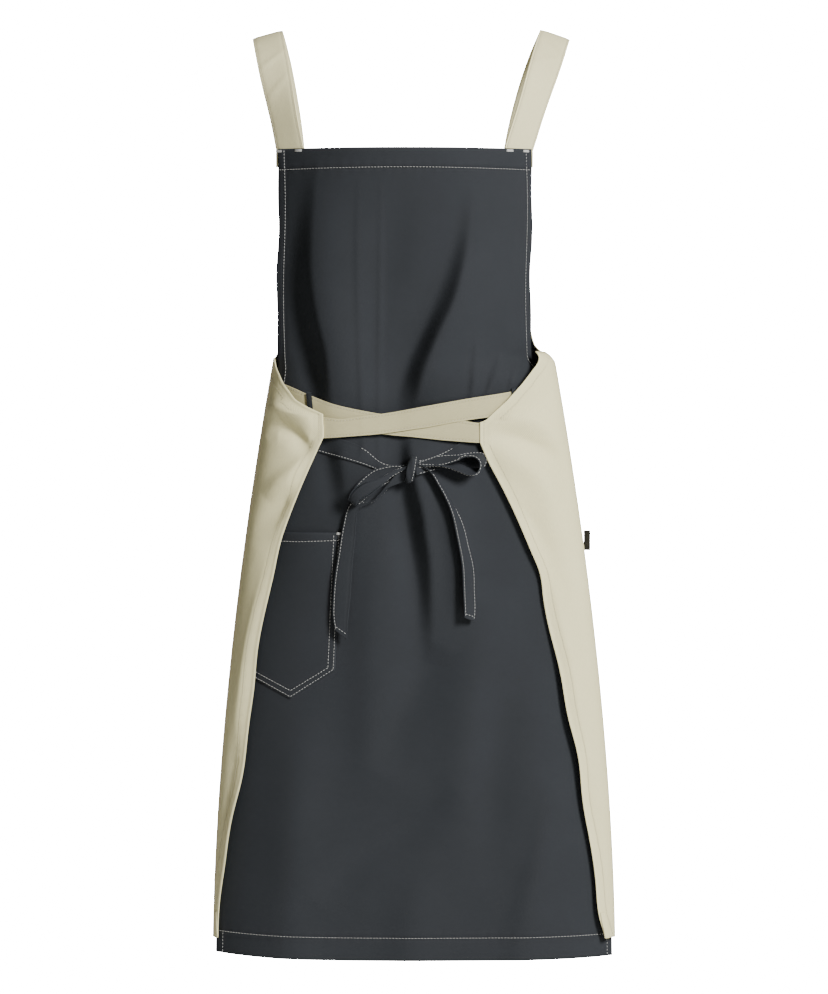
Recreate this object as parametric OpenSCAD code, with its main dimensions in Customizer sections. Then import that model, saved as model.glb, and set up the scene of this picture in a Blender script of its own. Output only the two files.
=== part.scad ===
// Two-colour wrap apron, hung by its shoulder straps.
// Millimetres. +Z is up, +X is to the right and -Y is the side with the dark bib.
// The origin is on the shoulder line, where the straps pass over whatever holds them.
// Heights in the code are measured up from the lower edge of the dark panel.

/* [Overall] */
// Height from the dark panel's lower edge to the top of the shoulder straps
hang_h = 1024; // [950:1:1250]
// Width across the hem
hem_w = 444; // [380:1:560]
// Width across the garment under the arms
underarm_w = 310; // [290:1:380]
// Height of the underarm point above the hem
underarm_h = 661; // [560:1:720]
// Depth of the space behind the side seams
back_depth = 108; // [80:1:160]
// How fast the skirt widens below the arms, where 1 is a straight side
flare = 1.75; // [1:0.05:2.5]

/* [Dark panel] */
// Length of the dark panel from its top edge to its hem
panel_l = 894; // [760:1:930]
// Width of the bib
bib_w = 280; // [240:1:290]
// How far the bib hangs to the left of the middle
bib_shift = 10.5; // [0:0.5:14]
// How far the bib curves forward of its side edges
bib_curve = 42; // [20:1:60]
// How far the hem curves forward of its side edges
hem_curve = 33; // [20:1:50]
// How far the bib's side edges stand forward of the side seams
bib_edge = 22; // [12:1:40]
// How far the hem's side edges stand forward of the side seams
hem_edge = 11; // [6:1:20]
// Thickness of the cloth with its hems and seams pressed in
cloth_t = 1.6; // [1:0.1:2.4]

/* [Light panels] */
// Height of the back bib's top edge above the hem
back_bib_h = 850; // [760:1:900]
// Width of the back bib
back_bib_w = 274; // [230:1:286]
// How far the wings stand off the dark panel at the side seams' front
wing_gap = 10; // [8:0.5:14]
// Height of the light panels' lower edge above the hem
light_hem_h = 24; // [10:1:60]
// Distance from the middle to the left wing's corner
corner_left = 99; // [80:1:120]
// Distance from the middle to the right wing's corner
corner_right = 73; // [70:1:120]
// Height of the corners' lower end above the hem
corner_h = 575; // [480:1:600]
// Length of each corner's upright edge
corner_l = 27; // [25:1:32]
// Height of the tab that finishes each wing's lower end
tab_h = 28; // [15:1:40]
// Width of that tab
tab_w = 14; // [8:1:24]

/* [Straps] */
// Width of a shoulder strap
strap_w = 35; // [25:1:40]
// Thickness of a shoulder strap
strap_t = 2.4; // [1.5:0.1:3]
// Distance between the middles of the straps on the shoulder line
shoulder_w = 318; // [280:1:340]
// How far the shoulder line sits to the left of the middle
shoulder_shift = 3; // [0:0.5:8]
// How far behind the side seams the shoulder line lies
shoulder_y = 22; // [0:1:40]
// Slope of the shoulders in degrees
shoulder_slope = 15; // [0:1:30]
// How far a strap reaches down behind the edge of a bib
strap_lap = 20; // [12:1:30]
// Width of a waist strap
waist_w = 24; // [18:1:25]
// Thickness of a waist strap
waist_t = 1.2; // [1:0.1:1.6]

/* [Tie] */
// Width of the tie
tie_w = 20; // [14:1:26]
// Thickness of the tie
tie_t = 1; // [0.8:0.1:1.2]
// Height of the knot's middle above the hem
knot_h = 540; // [420:1:545]
// Distance from the middle to the knot, towards the left
knot_x = 4; // [0:1:20]

/* [Pockets and label] */
// Width of the dark pocket at its mouth
pocket_w = 92; // [70:1:100]
// Distance from the middle to the dark pocket's right edge
pocket_x = 80; // [70:1:86]
// Height of the dark pocket's mouth above the hem
pocket_h = 470; // [400:1:480]
// Depth of the dark pocket at its sides
pocket_side = 148; // [120:1:170]
// How much lower the dark pocket's point is than its sides
pocket_point = 28; // [0:1:40]
// How much narrower the dark pocket is at its sides' lower ends
pocket_taper = 8; // [0:1:16]
// How far the pockets' mouths stand open
pocket_open = 9; // [8:0.5:12]
// Height of the light pocket's mouth above the hem
hip_h = 500; // [420:1:520]
// Depth of the light pocket
hip_l = 170; // [120:1:200]
// How far the label stands out of the side seam
label_l = 9; // [5:0.5:14]
// Height of the label
label_h = 22; // [12:1:30]

/* [Hidden] */
dark = "#3a3c41";
light = "#cfcbb6";
thread = "#d9d9d4";
black = "#17181a";

// Exponents of the rounded cross-sections: 2 is an ellipse, more is squarer
side_round = 2.8;
back_round = 2.2;
// Exponents of the dark panel's curve at its hem and at its bib
hem_power = 5.4;
bib_power = 2.2;
// The angle, past the side, at which the wings meet the back panel
seam_a = 6;
// How much shallower the back panel is at the top of its bib
back_taper = 14;
// The dark panel's side edges stay this far inside the light cloth, at the hem and under the arms
hem_tuck = 3.4;
arm_tuck = 8;
// Heights between which the skirt's middle moves over to the bib's
lean_from = 630;
lean_to = 664;
// Grid of the large panels
panel_cols = 24;
wing_cols = 14;
row_step = 34;
// How much closer the wings lie to the dark panel at the top than at the hem
wing_close = 6;
// How the wings' inner edges sweep outwards below the corners, where 1 is straight
wing_sweep = 0.62;
// How far the wings' inner edges stay inside the sides, at the lower end and under the arms
wing_low_in = 5;
wing_top_in = 2;
// Clearance between layers that aren't sewn together
gap = 0.4;
// Overlap of layers that are sewn together
sewn = 0.3;

function mix(a, b, t) = a + (b - a) * t;
function clamp(t) = min(1, max(0, t));
function smooth(t) = clamp(t) * clamp(t) * (3 - 2 * clamp(t));
function unit(v) = v / norm(v);
function steps(from, to, step) =
    let (n = max(1, ceil(abs(to - from) / step)))
    [for (i = [0:n]) mix(from, to, i / n)];
function swell(c, power) = sign(c) * pow(abs(c), 2 / power);

// Half width of the light cloth at a height
function side_x(h) = underarm_w / 2
    + (h < underarm_h ? (hem_w - underarm_w) / 2 * (1 - pow(max(0, h) / underarm_h, flare)) : 0);

// ---- The dark panel's outer face
function lean(h) = smooth((h - lean_from) / (lean_to - lean_from));
function panel_mid(h) = -bib_shift * lean(h);
function panel_half(h) =
    mix(side_x(h) - mix(hem_tuck, arm_tuck, clamp(h / underarm_h)), bib_w / 2, lean(h));
function up(h) = clamp(h / panel_l);
function panel_y(x, h) =
    let (t = min(1, abs(x - panel_mid(h)) / panel_half(h)))
    -mix(hem_edge, bib_edge, up(h))
    - mix(hem_curve, bib_curve, up(h)) * (1 - pow(t, mix(hem_power, bib_power, up(h))));

// ---- The light cloth's outer face, by angle: 0 is the right side, 90 the back, -90 the front
function wrap_depth(a, h) = a < 0
    ? mix(hem_edge + hem_curve, bib_edge + bib_curve, up(h)) + wing_gap - wing_close * up(h)
    : back_depth - back_taper * clamp((h - underarm_h) / (back_bib_h - underarm_h));
function wrap_power(a) = a < 0 ? side_round : back_round;
function wrap(a, h, inset = 0) = [
    (side_x(h) - inset) * swell(cos(a), wrap_power(a)),
    (wrap_depth(a, h) - inset) * swell(sin(a), wrap_power(a)),
    h];
// Angle at which the light cloth reaches a distance x from the middle
function wrap_angle(x, h, power) = acos(pow(min(1, x / side_x(h)), power / 2));

// ---- Solids
// Lays a skin over rings; each ring is a row of points out and the same number back
module skin(rings) {
    n = len(rings[0]);
    k = n / 2;
    last = (len(rings) - 1) * n;
    sides = [for (i = [0:len(rings) - 2], j = [0:n - 1])
        let (a = i * n + j, b = i * n + (j + 1) % n)
        each [[a, b + n, b], [a, a + n, b + n]]];
    ends = [for (j = [0:k - 2])
        each [[j, j + 1, n - 2 - j], [j, n - 2 - j, n - 1 - j],
            [last + j, last + n - 2 - j, last + j + 1], [last + j, last + n - 1 - j, last + n - 2 - j]]];
    polyhedron([for (r = rings) each r], concat(sides, ends));
}

// A flat band along a row of middles, with the vector from middle to edge at each of them.
// Its thickness is added on the side that a turn from the run to the edge vector points to.
module ribbon(mids, edges, t) {
    last = len(mids) - 1;
    skin([for (i = [0:last])
        let (run = mids[min(i + 1, last)] - mids[max(i - 1, 0)], out = t * unit(cross(run, edges[i])))
        [mids[i] - edges[i], mids[i] + edges[i], mids[i] + edges[i] + out, mids[i] - edges[i] + out]]);
}

// A band that lies over the dark panel; route gives [x, height, distance off the panel]
module laid_band(route, w, t) {
    last = len(route) - 1;
    mids = [for (p = route) [p.x, panel_y(p.x, p.y) - p.z, p.y]];
    edges = [for (i = [0:last])
        let (p = route[i], run = route[min(i + 1, last)] - route[max(i - 1, 0)],
            side = w / 2 * unit([-run.y, run.x]),
            hi = panel_y(p.x + side.x, p.y + side.y), lo = panel_y(p.x - side.x, p.y - side.y))
        [side.x, (hi - lo) / 2, side.y]];
    ribbon(mids, edges, t);
}

module lowered() {
    translate([0, 0, -hang_h])
        children();
}

// ---- Dark pieces
// Columns lie closer together towards the side edges, where the panel curves most
function panel_row(h, off) = [for (i = [0:panel_cols])
    let (x = panel_mid(h) + panel_half(h) * sin(180 * i / panel_cols - 90)) [x, panel_y(x, h) - off, h]];

function back_again(row) = [for (i = [len(row) - 1:-1:0]) row[i]];

module front_panel() {
    color(dark) lowered()
        skin([for (h = steps(0, panel_l, row_step))
            concat(panel_row(h, 0), back_again(panel_row(h, -cloth_t)))]);
}

// How far the pocket's cloth bows away from the panel, for shares across and up the pocket.
// The bow starts inwards of the part that the left wing holds down.
bow_from = 0.3;
bow_to = 0.9;
bow_rise = 0.7;
function pocket_bow(u, v) =
    pocket_open * sin(180 * clamp((u - bow_from) / (bow_to - bow_from))) * pow(v, bow_rise);

// A pocket touches what it is sewn to along its sides and bottom, and lies just clear inside them
function seat(u, v) = u == 0 || u == 1 || v == 0 ? -sewn : gap;
// The mouth also stays a given distance below the bow's knot, clear of the tie
knot_to_mouth = 70;
function mouth_h() = min(pocket_h, knot_h - knot_to_mouth);
function pocket_row(v, off) = [for (i = [0:12])
    let (u = i / 12, x = -pocket_x - pocket_w + pocket_w * u + pocket_taper * (1 - v) * (0.5 - u),
        low = mouth_h() - pocket_side - pocket_point * (1 - abs(2 * u - 1)),
        h = mix(low, mouth_h(), v))
    [x, panel_y(x, h) - pocket_bow(u, v) - seat(u, v) - off, h]];

module front_pocket() {
    color(dark) lowered()
        skin([for (v = [0:0.1:1]) concat(pocket_row(v, cloth_t), back_again(pocket_row(v, 0)))]);
}

// ---- Light pieces
seam_heights = concat(steps(light_hem_h, corner_h, row_step), [corner_h + corner_l / 2],
    steps(corner_h + corner_l, underarm_h, 10));

function wrap_row(h, from, to, inset, cols) = [for (i = [0:cols])
    wrap(mix(from, to, i / cols), h, inset)];

// How sharply the armholes curve, and how soon their left and right edges lean over with the bib
armhole_curve = 8;
armhole_lean = [5, 12];
// Half width of the back panel at a height on its armhole
function armhole_x(h) =
    let (t = (h - underarm_h) / (back_bib_h - underarm_h))
    mix(back_bib_w / 2, underarm_w / 2 * swell(cos(seam_a), back_round), pow(1 - t, armhole_curve));

function armhole_angle(h, sgn) =
    let (t = clamp((h - underarm_h) / (back_bib_h - underarm_h)))
    wrap_angle(armhole_x(h) - sgn * bib_shift * smooth(armhole_lean[sgn > 0 ? 1 : 0] * t), h, back_round);

module back_panel() {
    low = [for (h = seam_heights) [h, seam_a, 180 - seam_a]];
    high = [for (h = steps(underarm_h, back_bib_h, 18)) if (h > underarm_h)
        [h, armhole_angle(h, 1), 180 - armhole_angle(h, -1)]];
    color(light) lowered()
        skin([for (r = concat(low, high))
            concat(wrap_row(r[0], r[2], r[1], 0, panel_cols),
                back_again(wrap_row(r[0], r[2], r[1], cloth_t, panel_cols)))]);
}

// Distance from the middle to a wing's inner edge at a height
function wing_x(h, corner) =
    let (top = corner_h + corner_l, side = side_x(light_hem_h) - wing_low_in)
    h < corner_h ? mix(corner, side, pow((corner_h - h) / (corner_h - light_hem_h), wing_sweep))
    : h <= top ? corner
    : mix(corner, underarm_w / 2 - wing_top_in, sqrt((h - top) / (underarm_h - top)));

function wing_angle(h, corner) = -wrap_angle(wing_x(h, corner), h, side_round);

// Columns lie closer together at the side, where the cloth turns round
col_crowding = 1.6;
function wing_row(h, corner, inset) = [for (i = [wing_cols:-1:0])
    wrap(mix(seam_a, wing_angle(h, corner), pow(i / wing_cols, col_crowding)), h, inset)];

module wing(corner) {
    skin([for (h = seam_heights)
        concat(wing_row(h, corner, 0), back_again(wing_row(h, corner, cloth_t)))]);
}

module wing_left() {
    color(light) lowered()
        mirror([1, 0, 0])
            wing(corner_left);
}

module wing_right() {
    color(light) lowered()
        wing(corner_right);
}

// A folded tab over the lower end of a wing's inner edge
tab_t = 0.8;
tab_over = 1;
module wing_tab(corner) {
    skin([for (h = [light_hem_h, light_hem_h + tab_h / 2, light_hem_h + tab_h])
        let (inner = wing_angle(h, corner),
            outer = -wrap_angle(wing_x(h, corner) - tab_over + tab_w / 3, h, side_round))
        concat(wrap_row(h, inner, outer, -tab_t, 3), back_again(wrap_row(h, inner, outer, sewn, 3)))]);
}

module wing_tab_left() {
    color(light) lowered()
        mirror([1, 0, 0])
            wing_tab(corner_left);
}

module wing_tab_right() {
    color(light) lowered()
        wing_tab(corner_right);
}

// The light pocket lies on the back panel, from near the right side seam inwards
hip_from = 12;
hip_to = 62;
function hip_row(v, inset) = [for (i = [0:10])
    let (u = i / 10, h = mix(hip_h - hip_l, hip_h, v))
    wrap(mix(hip_to, hip_from, u), h, inset - seat(u, v) - pocket_open * sin(180 * u) * pow(v, bow_rise))];

module hip_pocket() {
    color(light) lowered()
        skin([for (v = [0:0.1:1]) concat(hip_row(v, -cloth_t), back_again(hip_row(v, 0)))]);
}

// The label's middle is this far below the light pocket's mouth. It starts clear of the seam's
// stitches and is turned forwards by an angle in degrees.
label_drop = 40;
label_t = 1.6;
label_gap = 1;
label_turn = 45;
module flag_label() {
    low = hip_h - label_drop - label_h / 2;
    color(black) lowered()
        translate([side_x(low) + label_gap, 0, low])
            rotate([0, 0, -label_turn])
                translate([0, -label_t / 2, 0])
                    cube([label_l, label_t, label_h]);
}

// ---- Shoulder straps: up from the dark bib, over the shoulder line and down to the back bib
// A foot is [middle, edge vector]; it lies on the inner face of its bib.
// Its middle is one share of the strap's width in from the bib's corner, and its slope is
// measured over the other share to each side.
foot_in = 0.4;
foot_reach = 0.44;
function back_y(x, h) = (wrap_depth(90, h) - cloth_t)
    * pow(1 - pow(min(1, abs(x) / side_x(h)), back_round), 1 / back_round);
function foot(side, half, h, inner) =
    let (x = -bib_shift + side * (half - strap_w * foot_in), reach = strap_w * foot_reach,
        a = inner(x - reach, h), b = inner(x + reach, h))
    [[x, (a + b) / 2, h], unit([2 * reach, b - a, 0])];
near_inner = function(x, h) panel_y(x, h) + cloth_t - sewn;
far_inner = function(x, h) back_y(x, h) + sewn;
function strap_crown(side) = [
    [-shoulder_shift + side * shoulder_w / 2, shoulder_y,
        hang_h - strap_w / 2 * sin(shoulder_slope)],
    [cos(shoulder_slope), 0, -side * sin(shoulder_slope)]];
// Upright along its lap, then a quarter of an ellipse up to the crown, where it is level.
// The far leg also keeps inwards at first, by its spread, so that it stays behind the near one.
far_spread = 1.8;
function strap_leg(foot, crown, t, spread = 1) =
    let (s = t < 0 ? 0 : t)
    [[mix(foot[0].x, crown[0].x, pow(sin(90 * s), spread)), mix(foot[0].y, crown[0].y, 1 - cos(90 * s)),
        mix(foot[0].z, crown[0].z, sin(90 * s)) + min(0, t) * strap_lap],
    unit(mix(foot[1], crown[1], smooth(s)))];

module shoulder_strap(side) {
    n = 12;
    near = foot(side, bib_w / 2, panel_l, near_inner);
    far = foot(side, back_bib_w / 2, back_bib_h, far_inner);
    shares = concat([-1], [for (i = [0:n]) i / n]);
    legs = concat([for (t = shares) strap_leg(near, strap_crown(side), t)],
        [for (i = [n:-1:0]) if (shares[i] < 1)
            strap_leg(far, strap_crown(side), shares[i], far_spread)]);
    mids = [for (p = legs) p[0]];
    last = len(mids) - 1;
    edges = [for (i = [0:last])
        let (run = unit(mids[min(i + 1, last)] - mids[max(i - 1, 0)]), turn = legs[i][1])
        strap_w / 2 * unit(turn - (turn * run) * run)];
    ribbon(mids, edges, strap_t);
}

module shoulder_strap_left() {
    color(light) lowered()
        shoulder_strap(-1);
}

module shoulder_strap_right() {
    color(light) lowered()
        shoulder_strap(1);
}

// ---- Waist straps: each starts under a wing's corner and ends under the other wing
corner_mid = corner_h + corner_l / 2;
// How far a strap reaches under the corner that it starts from
under_w = 6;
// Where each strap ends, measured from the middle
left_end = 122;
right_end = -150;
// Height of each strap's start below the corner's middle, and how far it climbs to its end
left_low = 2.5;
right_low = 8;
left_climb = 33;
right_climb = 40;
// Shape of each climb, where 1 is straight
left_bend = 1.45;
right_bend = 2;
// How far inside the wings' stand-off each start lies, so that it meets its wing. Each strap
// stays fully out up to the first distance inwards of its corner, and comes back in over the
// second.
start_in = 7.3;
left_step = [4, 35];
right_step = [0, 18];
// Belt loops: their places, width, thickness and clear length above and below the strap
left_loop_x = 115;
right_loop_x = 113;
loop_w = 6;
loop_t = 0.8;
loop_spare = 5.5;
// Layers at the waist, from the panel out: the tie, the right strap, then the left strap
right_off = tie_t + 1.5 * gap;
left_off = right_off + waist_t + gap;
// Height of each strap's middle at a distance x from the garment's middle
function left_strap_h(x) = corner_mid - left_low
    + left_climb * pow((x + corner_left + under_w) / (left_end + corner_left + under_w), left_bend);
function right_strap_h(x) = corner_mid - right_low
    + right_climb * pow((corner_right + under_w - x) / (corner_right + under_w - right_end), right_bend);
function step_out(d, step) = (wing_gap - start_in) * smooth(1 + (step[0] - d) / step[1]);

module waist_strap_left() {
    color(light) lowered()
        laid_band([for (i = [0:16]) let (x = mix(-corner_left - under_w, left_end, i / 16))
            [x, left_strap_h(x), left_off + step_out(x + corner_left, left_step)]], waist_w, waist_t);
}

module waist_strap_right() {
    color(light) lowered()
        laid_band([for (i = [0:24]) let (x = mix(right_end, corner_right + under_w, i / 24))
            [x, right_strap_h(x), right_off + step_out(corner_right - x, right_step)]], waist_w, waist_t);
}

// Belt loops: short upright bands that bridge a waist strap, steep at both ends
loop_steep = 4;
module belt_loop(x, h, rise) {
    l = waist_w + 2 * loop_spare;
    route = [for (t = [0:0.1:1])
        [x, h + l * (t - 0.5), -sewn + rise * min(1, loop_steep * sin(180 * t))]];
    laid_band(route, loop_w, loop_t);
}

module belt_loop_left() {
    color(dark) lowered()
        belt_loop(-left_loop_x, right_strap_h(-left_loop_x), right_off + waist_t + 2 * gap);
}

module belt_loop_right() {
    color(dark) lowered()
        belt_loop(right_loop_x, left_strap_h(right_loop_x), left_off + waist_t + 2 * gap);
}

// ---- The tie and its bow
knot_y = panel_y(-knot_x, knot_h);

// Each band leaves the knot a little off its middle and climbs to end behind the straps
band_in = 2;
left_band = [136, 38];
right_band = [98, 45];
right_band_bend = 1.3;

// Bands and ends of the tie are rows of [sideways, upwards, distance off the panel] from the knot
module tie_run(route) {
    laid_band([for (p = route) [p.x - knot_x, p.y + knot_h, p.z]], tie_w, tie_t);
}

module tie_band_left() {
    color(dark) lowered()
        tie_run([for (t = [1:-0.1:0]) [-band_in - left_band.x * t, left_band.y * t, gap]]);
}

module tie_band_right() {
    color(dark) lowered()
        tie_run([for (t = [0:0.1:1])
            [band_in + right_band.x * t, right_band.y * pow(t, right_band_bend), gap]]);
}

// The knot, a rounded bean that stands out from the panel
knot_size = [14, 20, 28];
module bow_knot() {
    color(dark) lowered()
        translate([-knot_x, knot_y - knot_size.y / 2 - gap, knot_h])
            resize(knot_size)
                sphere(knot_size.z / 2, $fn = 24);
}

// A loop of the bow: out along one side and back along the other, in a drop shape.
// Its two strands start apart, so that the knot holds them side by side.
loop_open = 9;
loop_pinch = 0.3;
loop_start = 4;
loop_off = 14;
module bow_loop(side, reach, drop) {
    mids = [for (i = [0:20])
        let (a = 9 * i, out = sin(a), across = -cos(a) * mix(loop_pinch, 1, out),
            x = -knot_x + side * (loop_start + reach * out))
        [x, panel_y(x, knot_h) - loop_off + loop_open * across, knot_h - drop * out]];
    ribbon(mids, [for (p = mids) [0, 0, side * tie_w / 2]], tie_t);
}

module bow_loop_left() {
    color(dark) lowered()
        bow_loop(-1, 64, 28);
}

module bow_loop_right() {
    color(dark) lowered()
        bow_loop(1, 79, -8);
}

// A lead runs from the knot to the place where the end starts to swing, and the tail hangs from there
left_lead = [[-4, -6, 3], [-24, -16, 3], [-44, -25, 3.2], [-55, -30, 3.6]];
left_tail = [[-64, -40, 4], [-67, -58, 5], [-69, -78, 7.5], [-71, -103, 9], [-74, -133, 9],
    [-77, -160, 9], [-77, -178, 9]];
right_lead = [[5, -7, 3], [12, -10, 3], [20, -15, 3.6]];
right_tail = [[30, -24, 4], [44, -41, 5], [54, -67, 6], [61, -95, 6], [64, -119, 6],
    [64, -147, 6], [64, -160, 6]];

module tie_lead_left() {
    color(dark) lowered()
        tie_run(left_lead);
}

module tie_lead_right() {
    color(dark) lowered()
        tie_run(right_lead);
}

module tie_tail_left() {
    color(dark) lowered()
        tie_run(left_tail);
}

module tie_tail_right() {
    color(dark) lowered()
        tie_run(right_tail);
}

// ---- Thread
// Bar tacks at the bib's corners are paired, one to each edge of the shoulder strap
tack_h = 1.2;
bib_tack = [9, 3];
bib_tack_in = [6, 26];
bib_tack_drop = 4;
pocket_tack = [5, 4];
pocket_tack_in = 4;
pocket_tack_drop = 3;
module tack(x, h, size) {
    translate([x, panel_y(x, h) - cloth_t / 2, h])
        cube([size.x, size.y, tack_h], center = true);
}

module bib_bar_tacks() {
    color(thread) lowered() {
        for (side = [-1, 1], in = bib_tack_in)
            tack(-bib_shift + side * (bib_w / 2 - in), panel_l - bib_tack_drop, bib_tack);
    }
}

module pocket_bar_tacks() {
    color(thread) lowered()
        tack(-pocket_x - pocket_tack_in, mouth_h() - pocket_tack_drop, pocket_tack);
}

front_panel();
front_pocket();
back_panel();
wing_left();
wing_right();
wing_tab_left();
wing_tab_right();
hip_pocket();
flag_label();
shoulder_strap_left();
shoulder_strap_right();
waist_strap_left();
waist_strap_right();
belt_loop_left();
belt_loop_right();
tie_band_left();
tie_band_right();
bow_knot();
bow_loop_left();
bow_loop_right();
tie_lead_left();
tie_lead_right();
tie_tail_left();
tie_tail_right();
bib_bar_tacks();
pocket_bar_tacks();
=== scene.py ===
# %% [markdown]
# # A two-colour wrap apron, hung by its shoulder straps
#
# The real apron is sewn from two cloths: a charcoal twill for the bib and skirt, the tie and one
# pocket, and a stone-coloured twill for the panel that wraps the body and for the straps.
# Cloth is thin, bends one way at a time and shows its seams, so every piece here is a surface
# worked out with numpy, given the thickness of its cloth, and stitched with modelled thread.

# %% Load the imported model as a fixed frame
import bpy
import numpy as np
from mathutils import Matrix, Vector


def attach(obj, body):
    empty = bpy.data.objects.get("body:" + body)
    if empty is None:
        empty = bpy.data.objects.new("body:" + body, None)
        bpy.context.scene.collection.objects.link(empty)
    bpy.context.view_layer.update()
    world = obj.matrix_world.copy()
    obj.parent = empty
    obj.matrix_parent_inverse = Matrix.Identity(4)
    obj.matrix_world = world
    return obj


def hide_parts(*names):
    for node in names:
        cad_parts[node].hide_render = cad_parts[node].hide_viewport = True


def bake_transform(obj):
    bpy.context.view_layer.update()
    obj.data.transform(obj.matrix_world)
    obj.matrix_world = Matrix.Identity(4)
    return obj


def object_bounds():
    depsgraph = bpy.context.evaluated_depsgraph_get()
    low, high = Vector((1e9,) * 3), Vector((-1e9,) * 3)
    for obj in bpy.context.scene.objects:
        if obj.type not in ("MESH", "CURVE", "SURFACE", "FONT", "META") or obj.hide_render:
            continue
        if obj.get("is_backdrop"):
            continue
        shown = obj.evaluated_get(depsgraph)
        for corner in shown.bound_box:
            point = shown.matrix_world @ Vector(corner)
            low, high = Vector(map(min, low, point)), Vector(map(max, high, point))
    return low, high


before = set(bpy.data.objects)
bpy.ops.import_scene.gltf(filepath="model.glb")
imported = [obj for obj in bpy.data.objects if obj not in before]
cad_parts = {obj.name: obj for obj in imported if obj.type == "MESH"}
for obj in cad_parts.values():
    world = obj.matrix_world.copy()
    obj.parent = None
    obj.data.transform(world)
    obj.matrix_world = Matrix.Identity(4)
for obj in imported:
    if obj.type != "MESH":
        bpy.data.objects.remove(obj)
cad_box = [list(corner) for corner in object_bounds()]
print("the part's box, in metres:", cad_box)

# %% [markdown]
# ## Measures
#
# All sizes are in millimetres. Heights are counted up from the lower edge of the dark panel, as
# a tailor would, and one function takes a point from there to the frame, whose origin is on the
# shoulder line. The two formulas of the part's source come first: the width of the light cloth
# at a height, and how far forward the dark panel curves.

# %% The shape of the hung apron
HANG = 1024.0          # lower edge of the dark panel to the shoulder line
HEM, UNDERARM, UNDERARM_H, FLARE = 444.0, 310.0, 661.0, 1.75
PANEL_L, BIB_W, BIB_SHIFT = 894.0, 280.0, 10.5
BACK_DEPTH, BACK_TAPER, BACK_BIB_H, BACK_BIB_W = 108.0, 14.0, 850.0, 274.0
LIGHT_HEM_H, SEAM_A = 24.0, 6.0          # SEAM_A is the side seams' angle
FRONT_ROUND, BACK_ROUND = 2.8, 2.2       # 2 is an ellipse; more is squarer
FRONT, BACK = (0, -1, 0), (0, 1, 0)
BIB_TOP = 889.5        # the bib's folded upper edge
LEAN_H, LEAN_RISE = 630.0, 34.0          # the panel leans over to the bib's middle from here up
WAIST_H = 590.0        # where the waist straps press the panel in


def mix(a, b, t):
    return a + (b - a) * t


def smooth(t):
    t = np.clip(t, 0, 1)
    return t * t * (3 - 2 * t)


def bell(d, width):
    return np.exp(-((d / width) ** 2))


def unit(v):
    return v / (np.linalg.norm(v, axis=-1, keepdims=True) + 1e-12)


def taken(t, places, rows):
    """Points between rows of points: `places` says where each row stands, and t where to look."""
    return np.stack([np.interp(t, places, rows[:, i]) for i in range(3)], -1)


def swell(c, power):
    return np.sign(c) * np.abs(c) ** (2 / power)


def side_x(h):
    """Half width of the light cloth: half the underarm width, plus a share of the hem's extra
    width that grows as one minus (height / underarm height) to the power FLARE."""
    rise = np.clip(np.maximum(h, 0) / UNDERARM_H, 0, 1)
    return UNDERARM / 2 + (HEM - UNDERARM) / 2 * (1 - rise ** FLARE)


def panel_mid(h):
    return -BIB_SHIFT * smooth((h - LEAN_H) / LEAN_RISE)


def panel_half(h):
    inside = side_x(h) - mix(3.4, 8.0, np.clip(h / UNDERARM_H, 0, 1))
    return mix(inside, BIB_W / 2, smooth((h - LEAN_H) / LEAN_RISE))


def panel_y(x, h):
    """The dark panel's plain face: its side edges stand forward by 11 to 22 mm, and its middle
    curves forward by 33 to 42 mm more, as one minus a power of the share across."""
    up = np.clip(h / PANEL_L, 0, 1)
    t = np.minimum(1, np.abs(x - panel_mid(h)) / panel_half(h))
    return -mix(11, 22, up) - mix(33, 42, up) * (1 - t ** mix(5.4, 2.2, up))


def wrap_at(a, h, out=0.0):
    """The light cloth at angle a in degrees (0 right, 90 back, -90 front) and height h, moved
    outwards by out: a rounded rectangle, x = half width times a power of the cosine and
    y = depth times a power of the sine."""
    a, h = np.broadcast_arrays(np.radians(a), h)
    up = np.clip(h / PANEL_L, 0, 1)
    front = mix(44, 64, up) + 10 - 6 * up
    back = BACK_DEPTH - BACK_TAPER * np.clip((h - UNDERARM_H) / (BACK_BIB_H - UNDERARM_H), 0, 1)
    depth = np.where(a < 0, front, back)
    power = np.where(a < 0, FRONT_ROUND, BACK_ROUND)
    return np.stack([(side_x(h) + out) * swell(np.cos(a), power),
                     (depth + out) * swell(np.sin(a), power), h + 0 * a], -1)


def wrap_angle(x, h, power):
    return np.degrees(np.arccos(np.clip(np.abs(x) / side_x(h), 0, 1) ** (power / 2)))


def placed(points):
    """Millimetres above the hem to metres in the frame."""
    points = np.array(points, float)
    points[..., 2] -= HANG
    return points / 1000


print("half width under the arms and at the hem:", side_x(UNDERARM_H), side_x(0))

# %% [markdown]
# ## Lines and folds
#
# A cut edge or the crest of a fold is a line drawn through a few knots. A fold stands up from
# the cloth as a bell across its crest. It is narrow on one flank and wide on the other, because
# hanging cloth leans, and that is what makes one flank dark and the other light.

# %% Smooth lines through knots, and folds along them


def through(knots, at):
    """Points of a smooth line through the knots at shares 0 to 1 of its length: between two
    knots a cubic, whose slope at each knot is the mean of the slopes beside it."""
    k = np.array(knots, float)
    t = np.r_[0, np.cumsum(np.linalg.norm(np.diff(k[:, :2], axis=0), axis=1) + 1e-9)]
    t /= t[-1]
    slope = np.gradient(k, t, axis=0)
    at = np.clip(np.asarray(at, float), 0, 1)
    i = np.clip(np.searchsorted(t, at, side="right") - 1, 0, len(t) - 2)
    w = (t[i + 1] - t[i])[..., None]
    s = (at - t[i])[..., None] / w
    return ((1 + 2 * s) * (1 - s) ** 2 * k[i] + s * (1 - s) ** 2 * w * slope[i]
            + s * s * (3 - 2 * s) * k[i + 1] + s * s * (s - 1) * w * slope[i + 1])


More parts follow.
